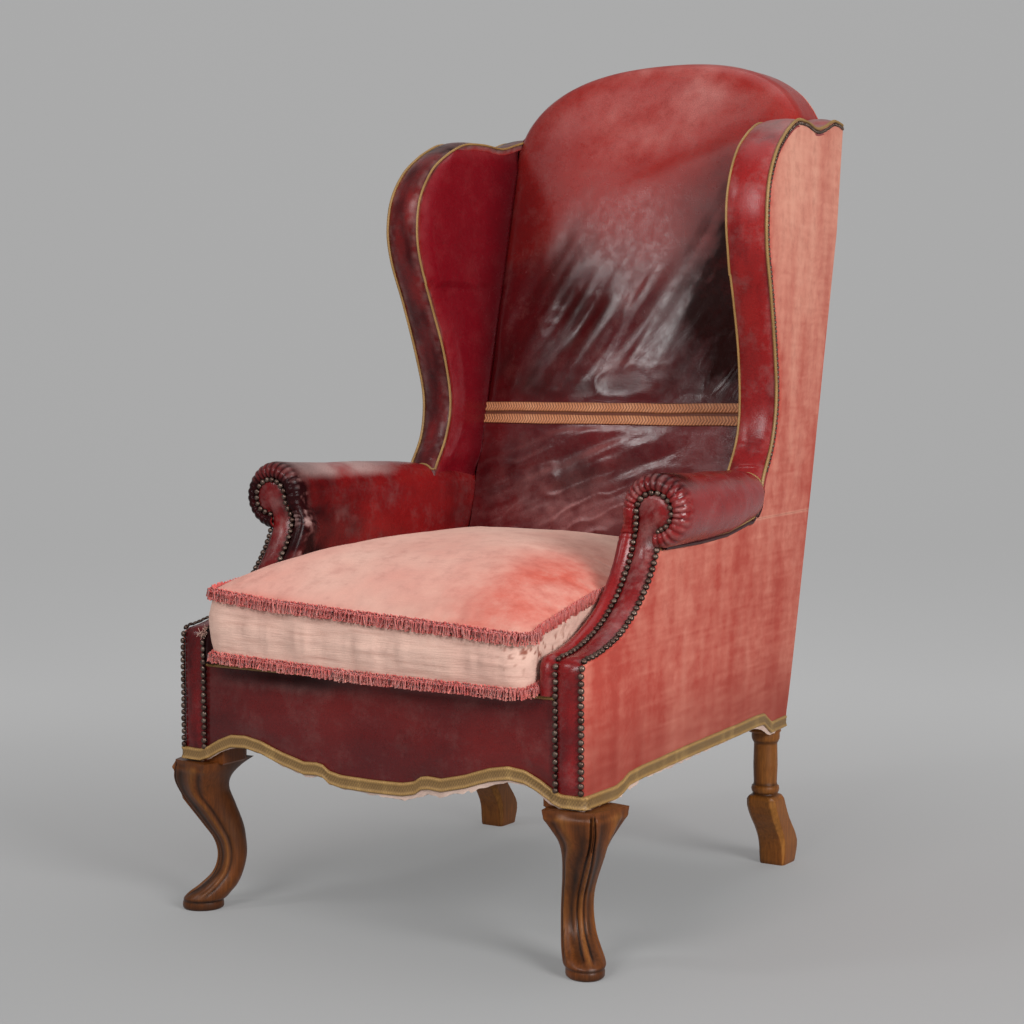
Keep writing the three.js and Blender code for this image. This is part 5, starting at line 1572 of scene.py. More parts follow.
@dataclass
class Fringe:
    """Dense looped fringe sewn along a seam of the cushion."""

    cushion: Cushion
    material: Material
    spacing: float = 1.6
    thick: float = 1.0
    clump: float = 6.0
    bare: float = 200.0

    def build(self) -> None:
        """Makes the top and the bottom fringe."""
        top, low, out = self.cushion.seams()
        upper = self.row(top, out, 0.5, 13.5, 307).place("fringe_top", self.material, Slot.CORAL, 80)
        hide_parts("cushion_fringe_top")
        lower = self.row(low + (0, 0, 5), out, 1.0, 11.0, 311)
        lower = lower.place("fringe_low", self.material, Slot.CORAL, 80)
        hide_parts("cushion_fringe_bottom")

    def row(self, seam: Array, out: Array, lift: float, hang: float, seed: int) -> Body:
        """Threads along the front and sides of one seam, over a dark core that goes once round; the core's
        dark colour paints the shade among the thread roots.

        Args:
            seam: Points of the seam, once round.
            out: Way out from the seam at each point.
            lift: How far above the seam the threads leave it.
            hang: How far they hang below it.
            seed: Which random threads.

        Returns:
            The threads and their core.
        """
        chance = np.random.default_rng(seed)
        loop = np.vstack([seam, seam[:1]])
        run = run_of(loop)
        count = int((run[-1] - 2 * self.bare) / self.spacing)
        ways = np.vstack([out, out[:1]])
        threads, shades = [], []
        for layer in range(3):
            at = np.arange(count) + 0.33 * layer + chance.uniform(-0.4, 0.4, count)
            at = self.bare + at * self.spacing
            root, way = sample(at, run, loop), sample(at, run, ways)
            ahead = np.column_stack([-way[:, 1], way[:, 0], np.zeros(count)])
            tuft = cloud(np.column_stack([at, at * 0 + 40 * layer, at * 0]), (self.clump, 9, 9), seed + 5, 3)
            long_wave = cloud(np.column_stack([at, at * 0, at * 0]), (60, 9, 9), seed + 9, 2)
            free = smooth((self.cushion.front + 34 - root[:, 1]) / 16)
            full = (12.0, 9.5, 6.5)[layer]
            reach = mix(3.8, full, free) * (1 + 0.2 * tuft + 0.2 * chance.uniform(-1, 1, count))
            uneven = 1 + 0.12 * long_wave + 0.12 * chance.uniform(-1, 1, count)
            drop = hang * (1.0, 0.72, 0.3)[layer] * uneven
            lean = 3.0 * tuft + chance.normal(0, 2.4, count)
            steps = np.array([0.0, 0.35, 0.8, 1.0])[:, None]
            outward = np.array([0.0, 0.85, 0.95, 0.4])[:, None] * reach
            hump = (1.0, 2.5, 4.5)[layer] * (1 + 0.3 * chance.uniform(-1, 1, count))
            fall = np.array([0.0, 0.16, 0.92, 0.86])[:, None]
            down = lift + hump * np.sin(steps * math.pi) - (drop + lift) * fall
            sideways = lean * steps + chance.normal(0, 0.9, (4, count)) * (steps > 0)
            path = root + way * outward[..., None] + ahead * sideways[..., None]
            path[..., 2] = path[..., 2] + down
            threads.append(path.transpose(1, 0, 2))
            tint = np.clip(0.5 + 0.55 * tuft + 0.25 * chance.uniform(-1, 1, count), 0, 1)
            worn = np.clip(long_wave + 0.3 * chance.uniform(-1, 1, count), 0, 1)
            # Darker at the roots and paler towards the tips: painted shade and light among the threads.
            depth = (1 - steps) ** 2 * 0.9 + (steps > 0.9) * 0.1
            shade = stacked(depth * (1.0, 0.7, 0.4)[layer], steps * tint, worn * steps)
            shades.append(shade.transpose(1, 0, 2))
        body = self.strands(np.vstack(threads), np.vstack(shades))
        core_path = loop + ways * mix(1.4, 3.6, smooth((self.cushion.front + 34 - loop[:, 1:2]) / 16))
        core_path[:, 2] -= hang * 0.28
        radius = mix(1.8, 4.2, smooth((self.cushion.front + 34 - loop[:, 1]) / 16))
        core = tube(core_path[::4], radius[::4], 8)
        # Full dark colour on the core: painted shade among the roots.
        core.tone[:, 0] = 1.0
        return together([body, core])

    def strands(self, paths: Array, shades: Array) -> Body:
        """Three-sided threads along many short paths at once."""
        count, steps = paths.shape[:2]
        ahead = np.gradient(paths, axis=1)
        ahead /= np.linalg.norm(ahead, axis=-1, keepdims=True) + 1e-9
        first = np.cross(ahead, (0.3, 0.5, 0.81))
        first /= np.linalg.norm(first, axis=-1, keepdims=True) + 1e-9
        second = np.cross(ahead, first)
        angle = np.radians((0, 120, 240))[None, None, :, None]
        ring = first[:, :, None] * np.cos(angle) + second[:, :, None] * np.sin(angle)
        taper = np.array([0.9, 1.0, 1.1, 0.75])[None, :, None, None]
        points = paths[:, :, None] + ring * self.thick * taper
        index = np.arange(count * steps * 3).reshape(count, steps, 3)
        faces = []
        for k in range(3):
            m = (k + 1) % 3
            cells = stacked(index[:, :-1, k], index[:, :-1, m], index[:, 1:, m], index[:, 1:, k])
            faces.append(cells.reshape(-1, 4))
        sides = [tuple(f) for f in np.vstack(faces).tolist()]
        ends = [tuple(f) for f in np.vstack([index[:, 0, ::-1], index[:, -1]]).tolist()]
        tone = np.repeat(shades[:, :, None], 3, 2).reshape(-1, 3)
        return Body(points.reshape(-1, 3), sides + ends, tone)


@dataclass
class LooseThreads:
    """Frayed lining threads that stand out beside the top of the left post."""

    lining: Material
    root: Triple = (-284.0, -417.0, 399.0)
    count: int = 26
    thick: float = 0.45

    def build(self) -> None:
        """Makes the threads."""
        chance = np.random.default_rng(401)
        bodies = []
        for _ in range(self.count):
            start = np.array(self.root) + chance.normal(0, 1, 3) * (3.0, 1.2, 4.0)
            way = np.array([chance.uniform(*limits) for limits in ((-0.6, 1.0), (-0.7, -0.1), (-0.5, 1.0))])
            way = way / np.linalg.norm(way) * chance.uniform(4, 9)
            curl = chance.normal(0, 2.2, 3)
            points = [start, start + way * 0.5 + curl * 0.4, start + way + curl]
            bodies.append(tube(through(points, 9), self.thick, 4))
        together(bodies).place("loose_threads", self.lining, Slot.CUSHION)


# ---- legs


@dataclass
class FrontLeg:
    """Carved cabriole front leg that faces outward at the corner, on a small pad foot."""

    side: Side
    wood: Material
    centre: Pair = (314.0, -389.0)
    block: tuple[float, float, float, float, float, float] = (262, 318, -405, -352, 211, 330)
    sections: Points = (
        (0, 0, 26, 26, 22, 2), (3, 0, 29, 29, 24.5, 2), (11, 0, 29, 29, 25, 2), (14, 1, 30, 31, 27, 2),
        (22, 8, 29, 31, 27, 2), (34, 22, 25, 27, 25, 2), (52, 36, 21, 21, 22, 2), (75, 42, 20, 20, 20.5, 2),
        (98, 39, 22, 22, 20.5, 1.9), (120, 29, 27, 28, 22, 1.8), (150, 12, 32, 34, 27, 1.6),
        (172, 2, 36, 36, 34, 1.4), (188, -1, 39, 42, 44, 1.25), (203, -1, 38, 56, 54, 1.12),
        (214.8, -1, 36, 74, 57, 1.05),
    )

    def build(self) -> None:
        """Makes the leg and the block above it."""
        tag = self.side.name.lower()
        leg = together([self.shaft(), self.upper_block()])
        piece = leg.place(f"carved_front_leg_{tag}", self.wood, Slot.WALNUT, 42)
        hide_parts(f"front_leg_{tag}")

    def shaft(self) -> Body:
        """Curved leg with its carved knee."""
        rings_count, around = 200, 100
        rows = through(self.sections, rings_count)
        rows[:, 0] = np.clip(np.maximum.accumulate(rows[:, 0]), 0, 214.8)
        z, shift, out, back, half, power = (rows[:, k : k + 1] for k in range(6))
        even_turn = np.linspace(-math.pi, math.pi, around, endpoint=False)[None]
        angle = even_turn - 0.5 * np.sin(even_turn)  # twice as fine on the carved outer corner
        cos, sin = np.cos(angle), np.sin(angle)
        p = np.sign(cos) * np.abs(cos) ** (2 / power) * np.where(cos > 0, out, back)
        q = np.sign(sin) * np.abs(sin) ** (2 / power) * half
        carve = self.carving(angle, z)
        reach = np.hypot(p, q) + 1e-9
        p, q = p * (1 + carve / reach), q * (1 + carve / reach)
        a = p - shift
        root = math.sqrt(2)
        x = self.centre[0] + (a + q) / root
        y = self.centre[1] + (q - a) / root
        grid = flip(stacked(x, y, z), self.side)
        worn = cloud(grid, (30, 30, 50), 317, 3)
        dark = np.clip(-carve / 2.2, 0, 1) + 0.3 * worn + 0.35 * smooth((12 - z) / 10)
        pale = np.clip(carve / 2.0, 0, 1) * 0.45 + 0.25 * spot(angle * 20, z, (0, 70), (30, 40)) * (1 + worn)
        dark = dark + (0.16 if self.side is Side.LEFT else 0.05)
        deep = 0.5 + 0.5 * cloud(grid, 60, 331, 2)
        return loft(grid, stacked(dark, pale, deep))

    def carving(self, angle: Array, z: Array) -> Array:
        """Height of the carving: a bead down the outer corner between grooves, and fluted sides."""
        turn = np.abs(angle)
        knee = smooth((z - 140) / 30)
        length = smooth((z - 15) / 14) * smooth((213 - z) / 8)
        wide = mix(0.11, 0.085, knee)
        bead = np.exp(-((turn / wide) ** 2)) * mix(1.6, 2.2, knee)
        groove = np.exp(-(((turn - wide * 2.1) / (wide * 0.75)) ** 2)) * mix(-2.0, -3.4, knee)
        slot = np.exp(-((turn / 0.06) ** 2)) * -4.6 * smooth((z - 158) / 10) * smooth((204 - z) / 8)
        panel = np.exp(-(((turn - mix(0.62, 0.5, knee)) / 0.2) ** 2)) * -1.6
        border = mix(1.12, 0.92, knee)
        ridge = np.exp(-(((turn - border) / 0.11) ** 2)) * 1.7
        outside = np.exp(-(((turn - border - 0.27) / 0.1) ** 2)) * -1.5
        rim = np.exp(-(((z - 203) / 4.0) ** 2)) * 1.2 * (turn < 1.5)
        toes = 1.0 * np.cos(turn * 9) * smooth((60 - z) / 30) * smooth((1.5 - turn) / 0.4)
        disc = np.exp(-(((z - 13) / 2.2) ** 2)) * -1.4
        return length * (bead + groove + slot + panel + ridge + outside + toes) + rim + disc

    def upper_block(self) -> Body:
        """Square block that the rails are fixed to."""
        x0, x1, y0, y1, z0, z1 = self.block
        corners = np.array([(x0, y0), (x1, y0), (x1, y1), (x0, y1)])
        centre = corners.mean(0)
        plan = even(np.vstack([corners, corners[:1]]), 33)[:-1]
        levels = ((z0, 3.0), (z0 + 3, 0.0), (z1 - 2, 0.0), (z1, 2.0))
        rings = []
        for z, cut in levels:
            inset = centre + (plan - centre) * (1 - cut / 27)
            rings.append(np.column_stack([inset, np.full(len(plan), z)]))
        return loft(flip(np.stack(rings), self.side))


@dataclass
class RearLeg:
    """Turned and chamfered rear leg, in one piece with the back post above it."""

    side: Side
    form: Carcase
    wood: Material
    centre_x: float = 258.0
    post_top: float = 1094.0
    sections: Points = (
        (0, 300, 20.5, 23, 8, 0.18), (3, 300, 21.2, 23.8, 8, 0.18), (9, 300.6, 21.8, 24.6, 8, 0.2),
        (16, 301.6, 22.2, 26, 8, 0.2), (24, 302.4, 22.6, 27.4, 8, 0.22), (33, 301.4, 22.8, 28.4, 8, 0.24),
        (42, 297.6, 23, 28.2, 8, 0.26), (52, 291, 23.2, 27.2, 8, 0.28), (62, 283, 23.6, 26.2, 8, 0.3),
        (73, 273.6, 24.2, 25.4, 8, 0.3), (85, 265, 24.8, 24.8, 8, 0.3), (97, 258.4, 25, 24.2, 8, 0.3),
        (108, 255, 24, 23, 7, 0.3),
        (113, 254, 21, 21, 5, 0.2), (115, 254, 19.5, 19.5, 2.2, 0), (117, 254, 19, 19, 2, 0),
        (120, 254, 20.6, 20.6, 2, 0), (124, 254, 21.4, 21.4, 2, 0), (128, 254, 20.6, 20.6, 2, 0),
        (130, 254, 18.3, 18.3, 2, 0), (134, 254, 17.7, 17.7, 2, 0), (160, 254, 18.6, 18.6, 2, 0),
        (194, 254, 17.8, 17.8, 2, 0), (197, 254, 19.4, 19.4, 2, 0), (201, 254, 21.2, 21.2, 2, 0),
        (205, 254, 21.6, 21.6, 2, 0), (210, 254, 21.4, 21.4, 2, 0),
    )

    def build(self) -> None:
        """Makes the leg with its post."""
        tag = self.side.name.lower()
        piece = self.shaft().place(f"turned_rear_leg_{tag}", self.wood, Slot.WALNUT, 34)
        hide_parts(f"rear_leg_{tag}")

    def shaft(self) -> Body:
        """Rings from the floor up to the top of the post."""
        known = np.array(self.sections, float)
        post = [(z, float(self.form.rear_y(z)) - 30, 19, 22, 8, 0.1) for z in (214.0, self.post_top)]
        known = np.vstack([known, post])
        z = np.unique(np.r_[np.linspace(0, 212, 85), known[:, 0], np.linspace(214, self.post_top, 8)])
        rows = np.column_stack([z, *(reading(known, z, k) for k in range(1, 6))])
        _, middle, wide, deep, power, chamfer = (rows[:, k : k + 1] for k in range(6))
        angle = np.linspace(0, 2 * math.pi, 64, endpoint=False)[None]
        cos, sin = np.cos(angle), np.sin(angle)
        u = np.sign(cos) * np.abs(cos) ** (2 / power)
        v = np.sign(sin) * np.abs(sin) ** (2 / power)
        cut = np.minimum(1, (2 - chamfer) / (np.abs(u) + np.abs(v)))
        x, y = self.centre_x + wide * u * cut, middle + deep * v * cut
        grid = flip(stacked(x, y, rows[:, :1]), self.side)
        worn = cloud(grid, (30, 30, 60), 337, 3)
        tall = grid[..., 2]
        rings = ((0.7, 116, 0, 3, 1), (0.6, 131, 0, 2.5, 1), (0.6, 196, 0, 2.5, 1))
        dark = 0.35 * smooth((10 - tall) / 8) + patches(tall, 0, rings) + 0.35 * worn
        pale = 0.45 * (cut < 0.999) * smooth((112 - tall) / 10) + 0.2 * (1 + worn)
        return loft(grid, stacked(dark, pale, 0.15 + 0.3 * worn))


# ---- inside


@dataclass
class HiddenParts:
    """Timber, webbing, springs and stuffing under the covers."""

    form: Carcase
    beech: Material
    steel: Material
    jute: Material
    horsehair: Material
    linen: Material

    def build(self) -> None:
        """Gives the kept nodes their finish and makes the soft ones."""
        for name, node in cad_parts.items():
            finish = self.finish_of(name)
            if finish:
                for material_slot in node.material_slots:
                    material_slot.material = finish
        halves = (258, 257, 252, 245)
        deck = self.pad("seat_pad", halves, (-406, 148), (336.5, 364.0), self.linen, Slot.LINEN)
        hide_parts("seat_deck")
        halves = (242, 241, 237, 230)
        canvas = self.pad("canvas_sheet", halves, (-376, 148), (330, 331.5), self.jute, Slot.JUTE)
        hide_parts("spring_canvas")
        dust = self.dust_sheet().place("bottom_sheet", self.linen, Slot.LINEN)
        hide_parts("dust_cover")
        stuffing = self.back_stuffing().place("back_filling", self.horsehair, Slot.HORSEHAIR)
        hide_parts("back_stuffing")

    def finish_of(self, name: str) -> Material | None:
        """Finish of a node that stays as it is, or nothing."""
        if "spring_canvas" in name:
            return None
        if name.startswith("seat_spring"):
            return self.steel
        if "webbing" in name:
            return self.jute
        if any(part in name for part in ("rail", "block", "post", "wing_frame")) and "leather" not in name:
            return self.beech
        return None

    def pad(
        self,
        name: str,
        halves: tuple[float, float, float, float],
        depth: Pair,
        levels: Pair,
        material: Material,
        slot: Slot,
    ) -> Piece:
        """Flat pad or sheet in the seat.

        Args:
            name: Name of the piece.
            halves: Half widths from front to back.
            depth: Front and back.
            levels: Underside and top.
            material: Its finish.
            slot: Its material slot.

        Returns:
            The new object.
        """
        y = np.linspace(*depth, 49)
        half = np.interp(y, np.linspace(*depth, 4), halves)
        u = np.linspace(-1, 1, 49)[:, None]
        thick = levels[1] - levels[0]
        along = 1 - np.abs(2 * (y - depth[0]) / (depth[1] - depth[0]) - 1)
        edge = np.clip(np.minimum(1 - np.abs(u), along) * 8, 0, 1)
        x = u * half
        top = stacked(x, y, levels[0] + thick * mix(0.7, 1.0, np.sqrt(edge)))
        low = stacked(x, y, levels[0])
        return shell(top, low).place(name, material, slot, 60)

    def dust_sheet(self) -> Body:
        """Thin sheet tacked under the rails, sagging a little in the middle."""
        y = np.linspace(-376, 228, 65)
        half = np.interp(y, (-376, -345, -286, 160, 228), (254, 254, 268, 240, 236))
        u = np.linspace(-1, 1, 65)[:, None]
        v = (2 * (y + 74) / 604)[None]
        sag = 7 * (1 - u**2) * (1 - v**2)
        x = u * half
        p = stacked(x, y, 0.0)
        low = stacked(x, y, 239.4 - sag + cloud(p, 90, 347, 2) * (1 - u**2) * (1 - v**2))
        return shell(low, low + (0, 0, 0.9), None)

    def back_stuffing(self) -> Body:
        """Horsehair between the back leather and the webbing."""
        node_low, node_high = (np.array(corner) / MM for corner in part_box("back_stuffing"))
        x, z = np.meshgrid(
            np.linspace(node_low[0] + 4, node_high[0] - 4, 49), np.linspace(node_low[2] + 4, 1140, 61)
        )
        p = stacked(x, 0.0, z)
        front = self.form.face_y(z) + 10 + cloud(p, 40, 349, 3) * 2.5
        back = self.form.face_y(z) + 46
        return shell(stacked(x, front, z), stacked(x, back, z))


# ---- finishes

Socket = bpy.types.NodeSocket
Tree = bpy.types.NodeTree
Feeds = dict[str | int, Socket | float | tuple[float, ...]]
WAVE = math.pi / 10  # a wave texture of scale 1 repeats after this length


def feed(made: bpy.types.Node, feeds: Feeds) -> None:
    """Sets or links inputs of a node, by name or number."""
    for key, value in feeds.items():
        if isinstance(value, Socket):
            made.id_data.links.new(value, made.inputs[key])
        else:
            made.inputs[key].default_value = value


def node(tree: Tree, kind: str, feeds: Feeds | None = None, out: str | int = 0, **settings: object) -> Socket:
    """Adds a shader node with its settings and links.

    Args:
        tree: Node tree of the material.
        kind: Kind of node.
        feeds: Value or source of each input, by name or number.
        out: Which output is wanted, by name or number.
        settings: Settings of the node itself.

    Returns:
        The output wanted.
    """
    made = tree.nodes.new("ShaderNode" + kind)
    for key, value in settings.items():
        setattr(made, key, value)
    feed(made, feeds or {})
    return made.outputs[out]


@dataclass(frozen=True)
class Finish:
    """Colours that every worn finish has, and how the tone of the mesh picks between them.

    The tone's first number brings in the dark colour, its second the pale one, its third the deep one.
    """

    name: str
    base: str
    dark: str
    pale: str
    deep: str

    def start(self) -> tuple[Material, Tree, bpy.types.Node, Socket]:
        """New material, its node tree, its surface shader and the position on the piece."""
        material = bpy.data.materials.new(self.name)
        material.use_nodes = True
        tree = material.node_tree
        surface = next(n for n in tree.nodes if n.bl_idname == "ShaderNodeBsdfPrincipled")
        return material, tree, surface, node(tree, "TexCoord", out="Object")

    def colours(
        self, tree: Tree, place: Socket, blot: float, fleck: float, ragged: float
    ) -> tuple[Socket, Socket, Sequence[Socket]]:
        """Mixes the four colours with ragged edges.

        Args:
            tree: Node tree of the material.
            place: Position on the piece.
            blot: Size of the large blots, in metres.
            fleck: Size of the small flecks, in metres.
            ragged: How ragged the edges between the colours are.

        Returns:
            The colour, how pale it is, and the three numbers of the tone.
        """
        tone = node(tree, "Attribute", attribute_name="tone")
        shares = node(tree, "SeparateColor", {"Color": tone}).node.outputs
        noise = {"Vector": place, "Scale": 1 / blot, "Detail": 7.0, "Roughness": 0.62}
        large = node(tree, "TexNoise", noise)
        noise = {"Vector": place, "Scale": 1 / fleck, "Detail": 4.0, "Roughness": 0.65}
        small = node(tree, "TexNoise", noise)
        both = node(tree, "Math", {0: small, 1: 0.45, 2: large}, operation="MULTIPLY_ADD")
        middle = 0.5 + ragged * 0.725  # 0.725 is the mean of both noises together
        colour = srgb(self.base)
        for number, code in ((2, self.deep), (1, self.pale), (0, self.dark)):
            rough = node(tree, "Math", {0: both, 1: ragged, 2: shares[number]}, operation="MULTIPLY_ADD")
            limits = {"Value": rough, "From Min": middle - 0.5, "From Max": middle + 0.5}
            factor = node(tree, "MapRange", limits)
            colour = node(tree, "Mix", {0: factor, 6: colour, 7: srgb(code)}, 2, data_type="RGBA")
            if number == 1:
                paleness = factor
        limits = {"Value": large, "From Min": 0.3, "From Max": 0.7, "To Min": 0.86, "To Max": 1.1}
        uneven = node(tree, "MapRange", limits)
        return node(tree, "HueSaturation", {"Color": colour, "Value": uneven}), paleness, shares


@dataclass(frozen=True)
class Leather(Finish):
    """Glazed calfskin, dyed and polished: creases catch the light, and rubbing has taken the glaze off."""

    rough: float = 0.36
    glaze: float = 0.2
    pores: float = 0.0032  # about three times life, so that they show
    crinkle: float = 0.0007
    crinkle_size: float = 0.014
    shine: float = 0.4

    def make(self) -> Material:
        """Builds the material."""
        material, tree, surface, place = self.start()
        colour, pale, shares = self.colours(tree, place, 0.04, 0.006, 0.5)
        cells = {"Vector": place, "Scale": 1 / self.pores, "Randomness": 1.0}
        grain = node(tree, "TexVoronoi", cells, feature="DISTANCE_TO_EDGE")
        cracks = node(tree, "MapRange", {"Value": grain, "From Max": 0.12, "To Min": 0.72, "To Max": 1.0})
        folds = {"Vector": place, "Scale": 1 / self.crinkle_size, "Detail": 3.0, "Roughness": 0.5}
        crumple = node(tree, "TexNoise", {**folds, "Distortion": 0.3})
        wear = node(tree, "MapRange", {
            "Value": crumple, "From Min": 0.35, "From Max": 0.7,
            "To Min": self.rough - 0.03, "To Max": self.rough + 0.07,
        })
        dull = node(tree, "Math", {0: pale, 1: 0.22, 2: wear}, operation="MULTIPLY_ADD")
        fine = node(tree, "Bump", {"Height": grain, "Strength": 0.3, "Distance": 0.0005})
        small = {"Height": crumple, "Strength": 0.8, "Distance": self.crinkle, "Normal": fine}
        bump = node(tree, "Bump", small)
        # The gloss drops where the dark share is strongest, so that stains and painted shadow stay matte.
        stained_and_shaded = {"Value": shares[0], "From Min": 0.55, "From Max": 1.0, "To Min": self.shine, "To Max": 0.05}
        feed(surface, {
            "Base Color": node(tree, "HueSaturation", {"Color": colour, "Value": cracks}),
            "Roughness": node(tree, "Math", {0: shares[2], 1: -0.11, 2: dull}, operation="MULTIPLY_ADD"),
            "Normal": bump,
            "Specular IOR Level": node(tree, "MapRange", stained_and_shaded),
            "Coat Weight": self.glaze,
            "Coat Roughness": 0.24,
            "Coat Normal": bump,
        })
        return material


@dataclass(frozen=True)
class Velvet(Finish):
    """Cotton velvet, cut pile on a ribbed ground: soft bloom at grazing angles, pressed and sun-faded."""

    rib: float = 0.0013
    pile: float = 0.0011  # twice life, so that it shows
    bloom: float = 0.5
    slub: float = 0.0
    contrast: float = 1.0

    def make(self) -> Material:
        """Builds the material."""
        material, tree, surface, place = self.start()
        colour, _, _ = self.colours(tree, place, 0.022, 0.0022, 0.8)
        weave = {"Vector": place, "Scale": WAVE / self.rib, "Distortion": 1.6, "Detail": 2.0}
        rib = node(tree, "TexWave", {**weave, "Detail Scale": 0.4}, "Fac", bands_direction="Z")
        wide = {"Value": rib, "To Min": 1 - 0.16 * self.contrast, "To Max": 1 + 0.05 * self.contrast}
        shade = node(tree, "MapRange", wide)
        tufts = node(tree, "TexNoise", {"Vector": place, "Scale": 1 / self.pile, "Detail": 2.0})
        fine = node(tree, "Bump", {"Height": tufts, "Strength": 0.5, "Distance": 0.0005})
        ribs = {"Height": rib, "Strength": 0.45 * self.contrast, "Distance": 0.0005, "Normal": fine}
        normal = node(tree, "Bump", ribs)
        if self.slub:
            long_way = node(tree, "Mapping", {"Vector": place, "Scale": (1.0, 1.0, 16.0)})
            knots = {"Vector": long_way, "Scale": 1 / 0.03, "Detail": 4.0, "Roughness": 0.6}
            slubs = node(tree, "TexNoise", knots)
            ridges = {"Height": slubs, "Strength": 0.6, "Distance": self.slub, "Normal": normal}
            normal = node(tree, "Bump", ridges)
        feed(surface, {
            "Base Color": node(tree, "HueSaturation", {"Color": colour, "Value": shade}),
            "Normal": normal,
            "Roughness": 0.9,
            "Sheen Weight": self.bloom,
            "Sheen Roughness": 0.4,
            "Sheen Tint": srgb(self.pale),
            "Specular IOR Level": 0.2,
        })
        return material


@dataclass(frozen=True)
class Thread(Finish):
    """Twisted thread, silk or metal-wrapped: fine plies that glint on their crests."""

    ply: float = 0.0009
    rough: float = 0.6
    metal: float = 0.0
    bloom: float = 0.0

    def make(self) -> Material:
        """Builds the material."""
        material, tree, surface, place = self.start()
        colour, pale, _ = self.colours(tree, place, 0.012, 0.0016, 0.55)
        plies = node(tree, "TexNoise", {"Vector": place, "Scale": 1 / self.ply, "Detail": 3.0})
        feed(surface, {
            "Base Color": colour,
            "Normal": node(tree, "Bump", {"Height": plies, "Strength": 0.6, "Distance": 0.0005}),
            "Roughness": self.rough,
            "Sheen Weight": self.bloom,
        })
        if self.metal:
            feed(surface, {"Metallic": node(tree, "Math", {0: pale, 1: self.metal}, operation="MULTIPLY")})
        return material


@dataclass(frozen=True)
class Timber(Finish):
    """Oiled and waxed wood: long grain, darker pores, and polish rubbed thin on the edges."""

    grain: float = 0.004
    rough: float = 0.38
    wax: float = 0.25

    def make(self) -> Material:
        """Builds the material."""
        material, tree, surface, place = self.start()
        colour, pale, _ = self.colours(tree, place, 0.03, 0.003, 0.6)
        long_way = node(tree, "Mapping", {"Vector": place, "Scale": (1.0, 1.0, 0.08)})
        lines = {"Vector": long_way, "Scale": 1 / self.grain, "Detail": 6.0, "Roughness": 0.7}
        grain = node(tree, "TexNoise", {**lines, "Distortion": 0.6})
        limits = {"Value": grain, "From Min": 0.32, "From Max": 0.68, "To Min": 0.62, "To Max": 1.2}
        shade = node(tree, "MapRange", limits)
        feed(surface, {
            "Base Color": node(tree, "HueSaturation", {"Color": colour, "Value": shade}),
            "Normal": node(tree, "Bump", {"Height": grain, "Strength": 0.3, "Distance": 0.0006}),
            "Roughness": node(tree, "Math", {0: pale, 1: 0.15, 2: self.rough}, operation="MULTIPLY_ADD"),
            "Specular IOR Level": 0.25,
            "Coat Weight": self.wax,
            "Coat Roughness": 0.28,
        })
        return material


@dataclass(frozen=True)
class Metal(Finish):
    """Stamped metal gone dull: bright on the domes, brown in the rims."""

    rough: float = 0.34

    def make(self) -> Material:
        """Builds the material."""
        material, tree, surface, place = self.start()
        colour, _, _ = self.colours(tree, place, 0.008, 0.0012, 0.5)
        film = node(tree, "TexNoise", {"Vector": place, "Scale": 1 / 0.003, "Detail": 4.0})
        limits = {"Value": film, "From Min": 0.35, "From Max": 0.65}
        limits |= {"To Min": self.rough - 0.1, "To Max": self.rough + 0.2}
        feed(surface, {
            "Base Color": colour,
            "Roughness": node(tree, "MapRange", limits),
            "Normal": node(tree, "Bump", {"Height": film, "Strength": 0.25, "Distance": 0.0003}),
            "Metallic": 1.0,
        })
        return material


@dataclass(frozen=True)
class Fibre(Finish):
    """Raw fibre, woven or teased: coarse dry strands with no shine."""

    strand: float = 0.003

    def make(self) -> Material:
        """Builds the material."""
        material, tree, surface, place = self.start()
        colour, _, _ = self.colours(tree, place, 0.02, 0.003, 0.7)
        waves = {"Vector": place, "Scale": WAVE / self.strand}
        weft, warp = (node(tree, "TexWave", waves, "Fac", bands_direction=way) for way in "XY")
        woven = node(tree, "Math", {0: weft, 1: warp}, operation="MULTIPLY")
        shade = node(tree, "MapRange", {"Value": woven, "To Min": 0.6, "To Max": 1.15})
        feed(surface, {
            "Base Color": node(tree, "HueSaturation", {"Color": colour, "Value": shade}),
            "Normal": node(tree, "Bump", {"Height": woven, "Strength": 0.7, "Distance": 0.0008}),
            "Roughness": 0.92,
        })
        return material


RED_LEATHER = Leather(
    "glazed_red_calfskin", "#9A241E", "#260C0A", "#C47C74", "#560A10",
    rough=0.3, glaze=0.0, crinkle=0.00005, shine=0.36,
)
WING_LEATHER = Leather(
    "glazed_crimson_calfskin", "#880E1C", "#2A060A", "#B84A4C", "#5C0812",
    rough=0.3, glaze=0.05, crinkle=0.0002, shine=0.3,
)
WINE_LEATHER = Leather(
    "glazed_wine_calfskin", "#7E1C1E", "#200A0C", "#B87470", "#4A0A10",
    rough=0.28, glaze=0.0, crinkle=0.0004,
)
ARM_LEATHER = Leather(
    "handled_maroon_calfskin", "#921A1A", "#240A0C", "#C4A09A", "#520A12",
    rough=0.3, glaze=0.06, crinkle=0.0002, shine=0.3,
)
DARK_LEATHER = Leather(
    "soiled_oxblood_calfskin", "#761A18", "#220C0C", "#B07A72", "#4C0E12",
    rough=0.34, glaze=0.0, crinkle=0.0003,
)
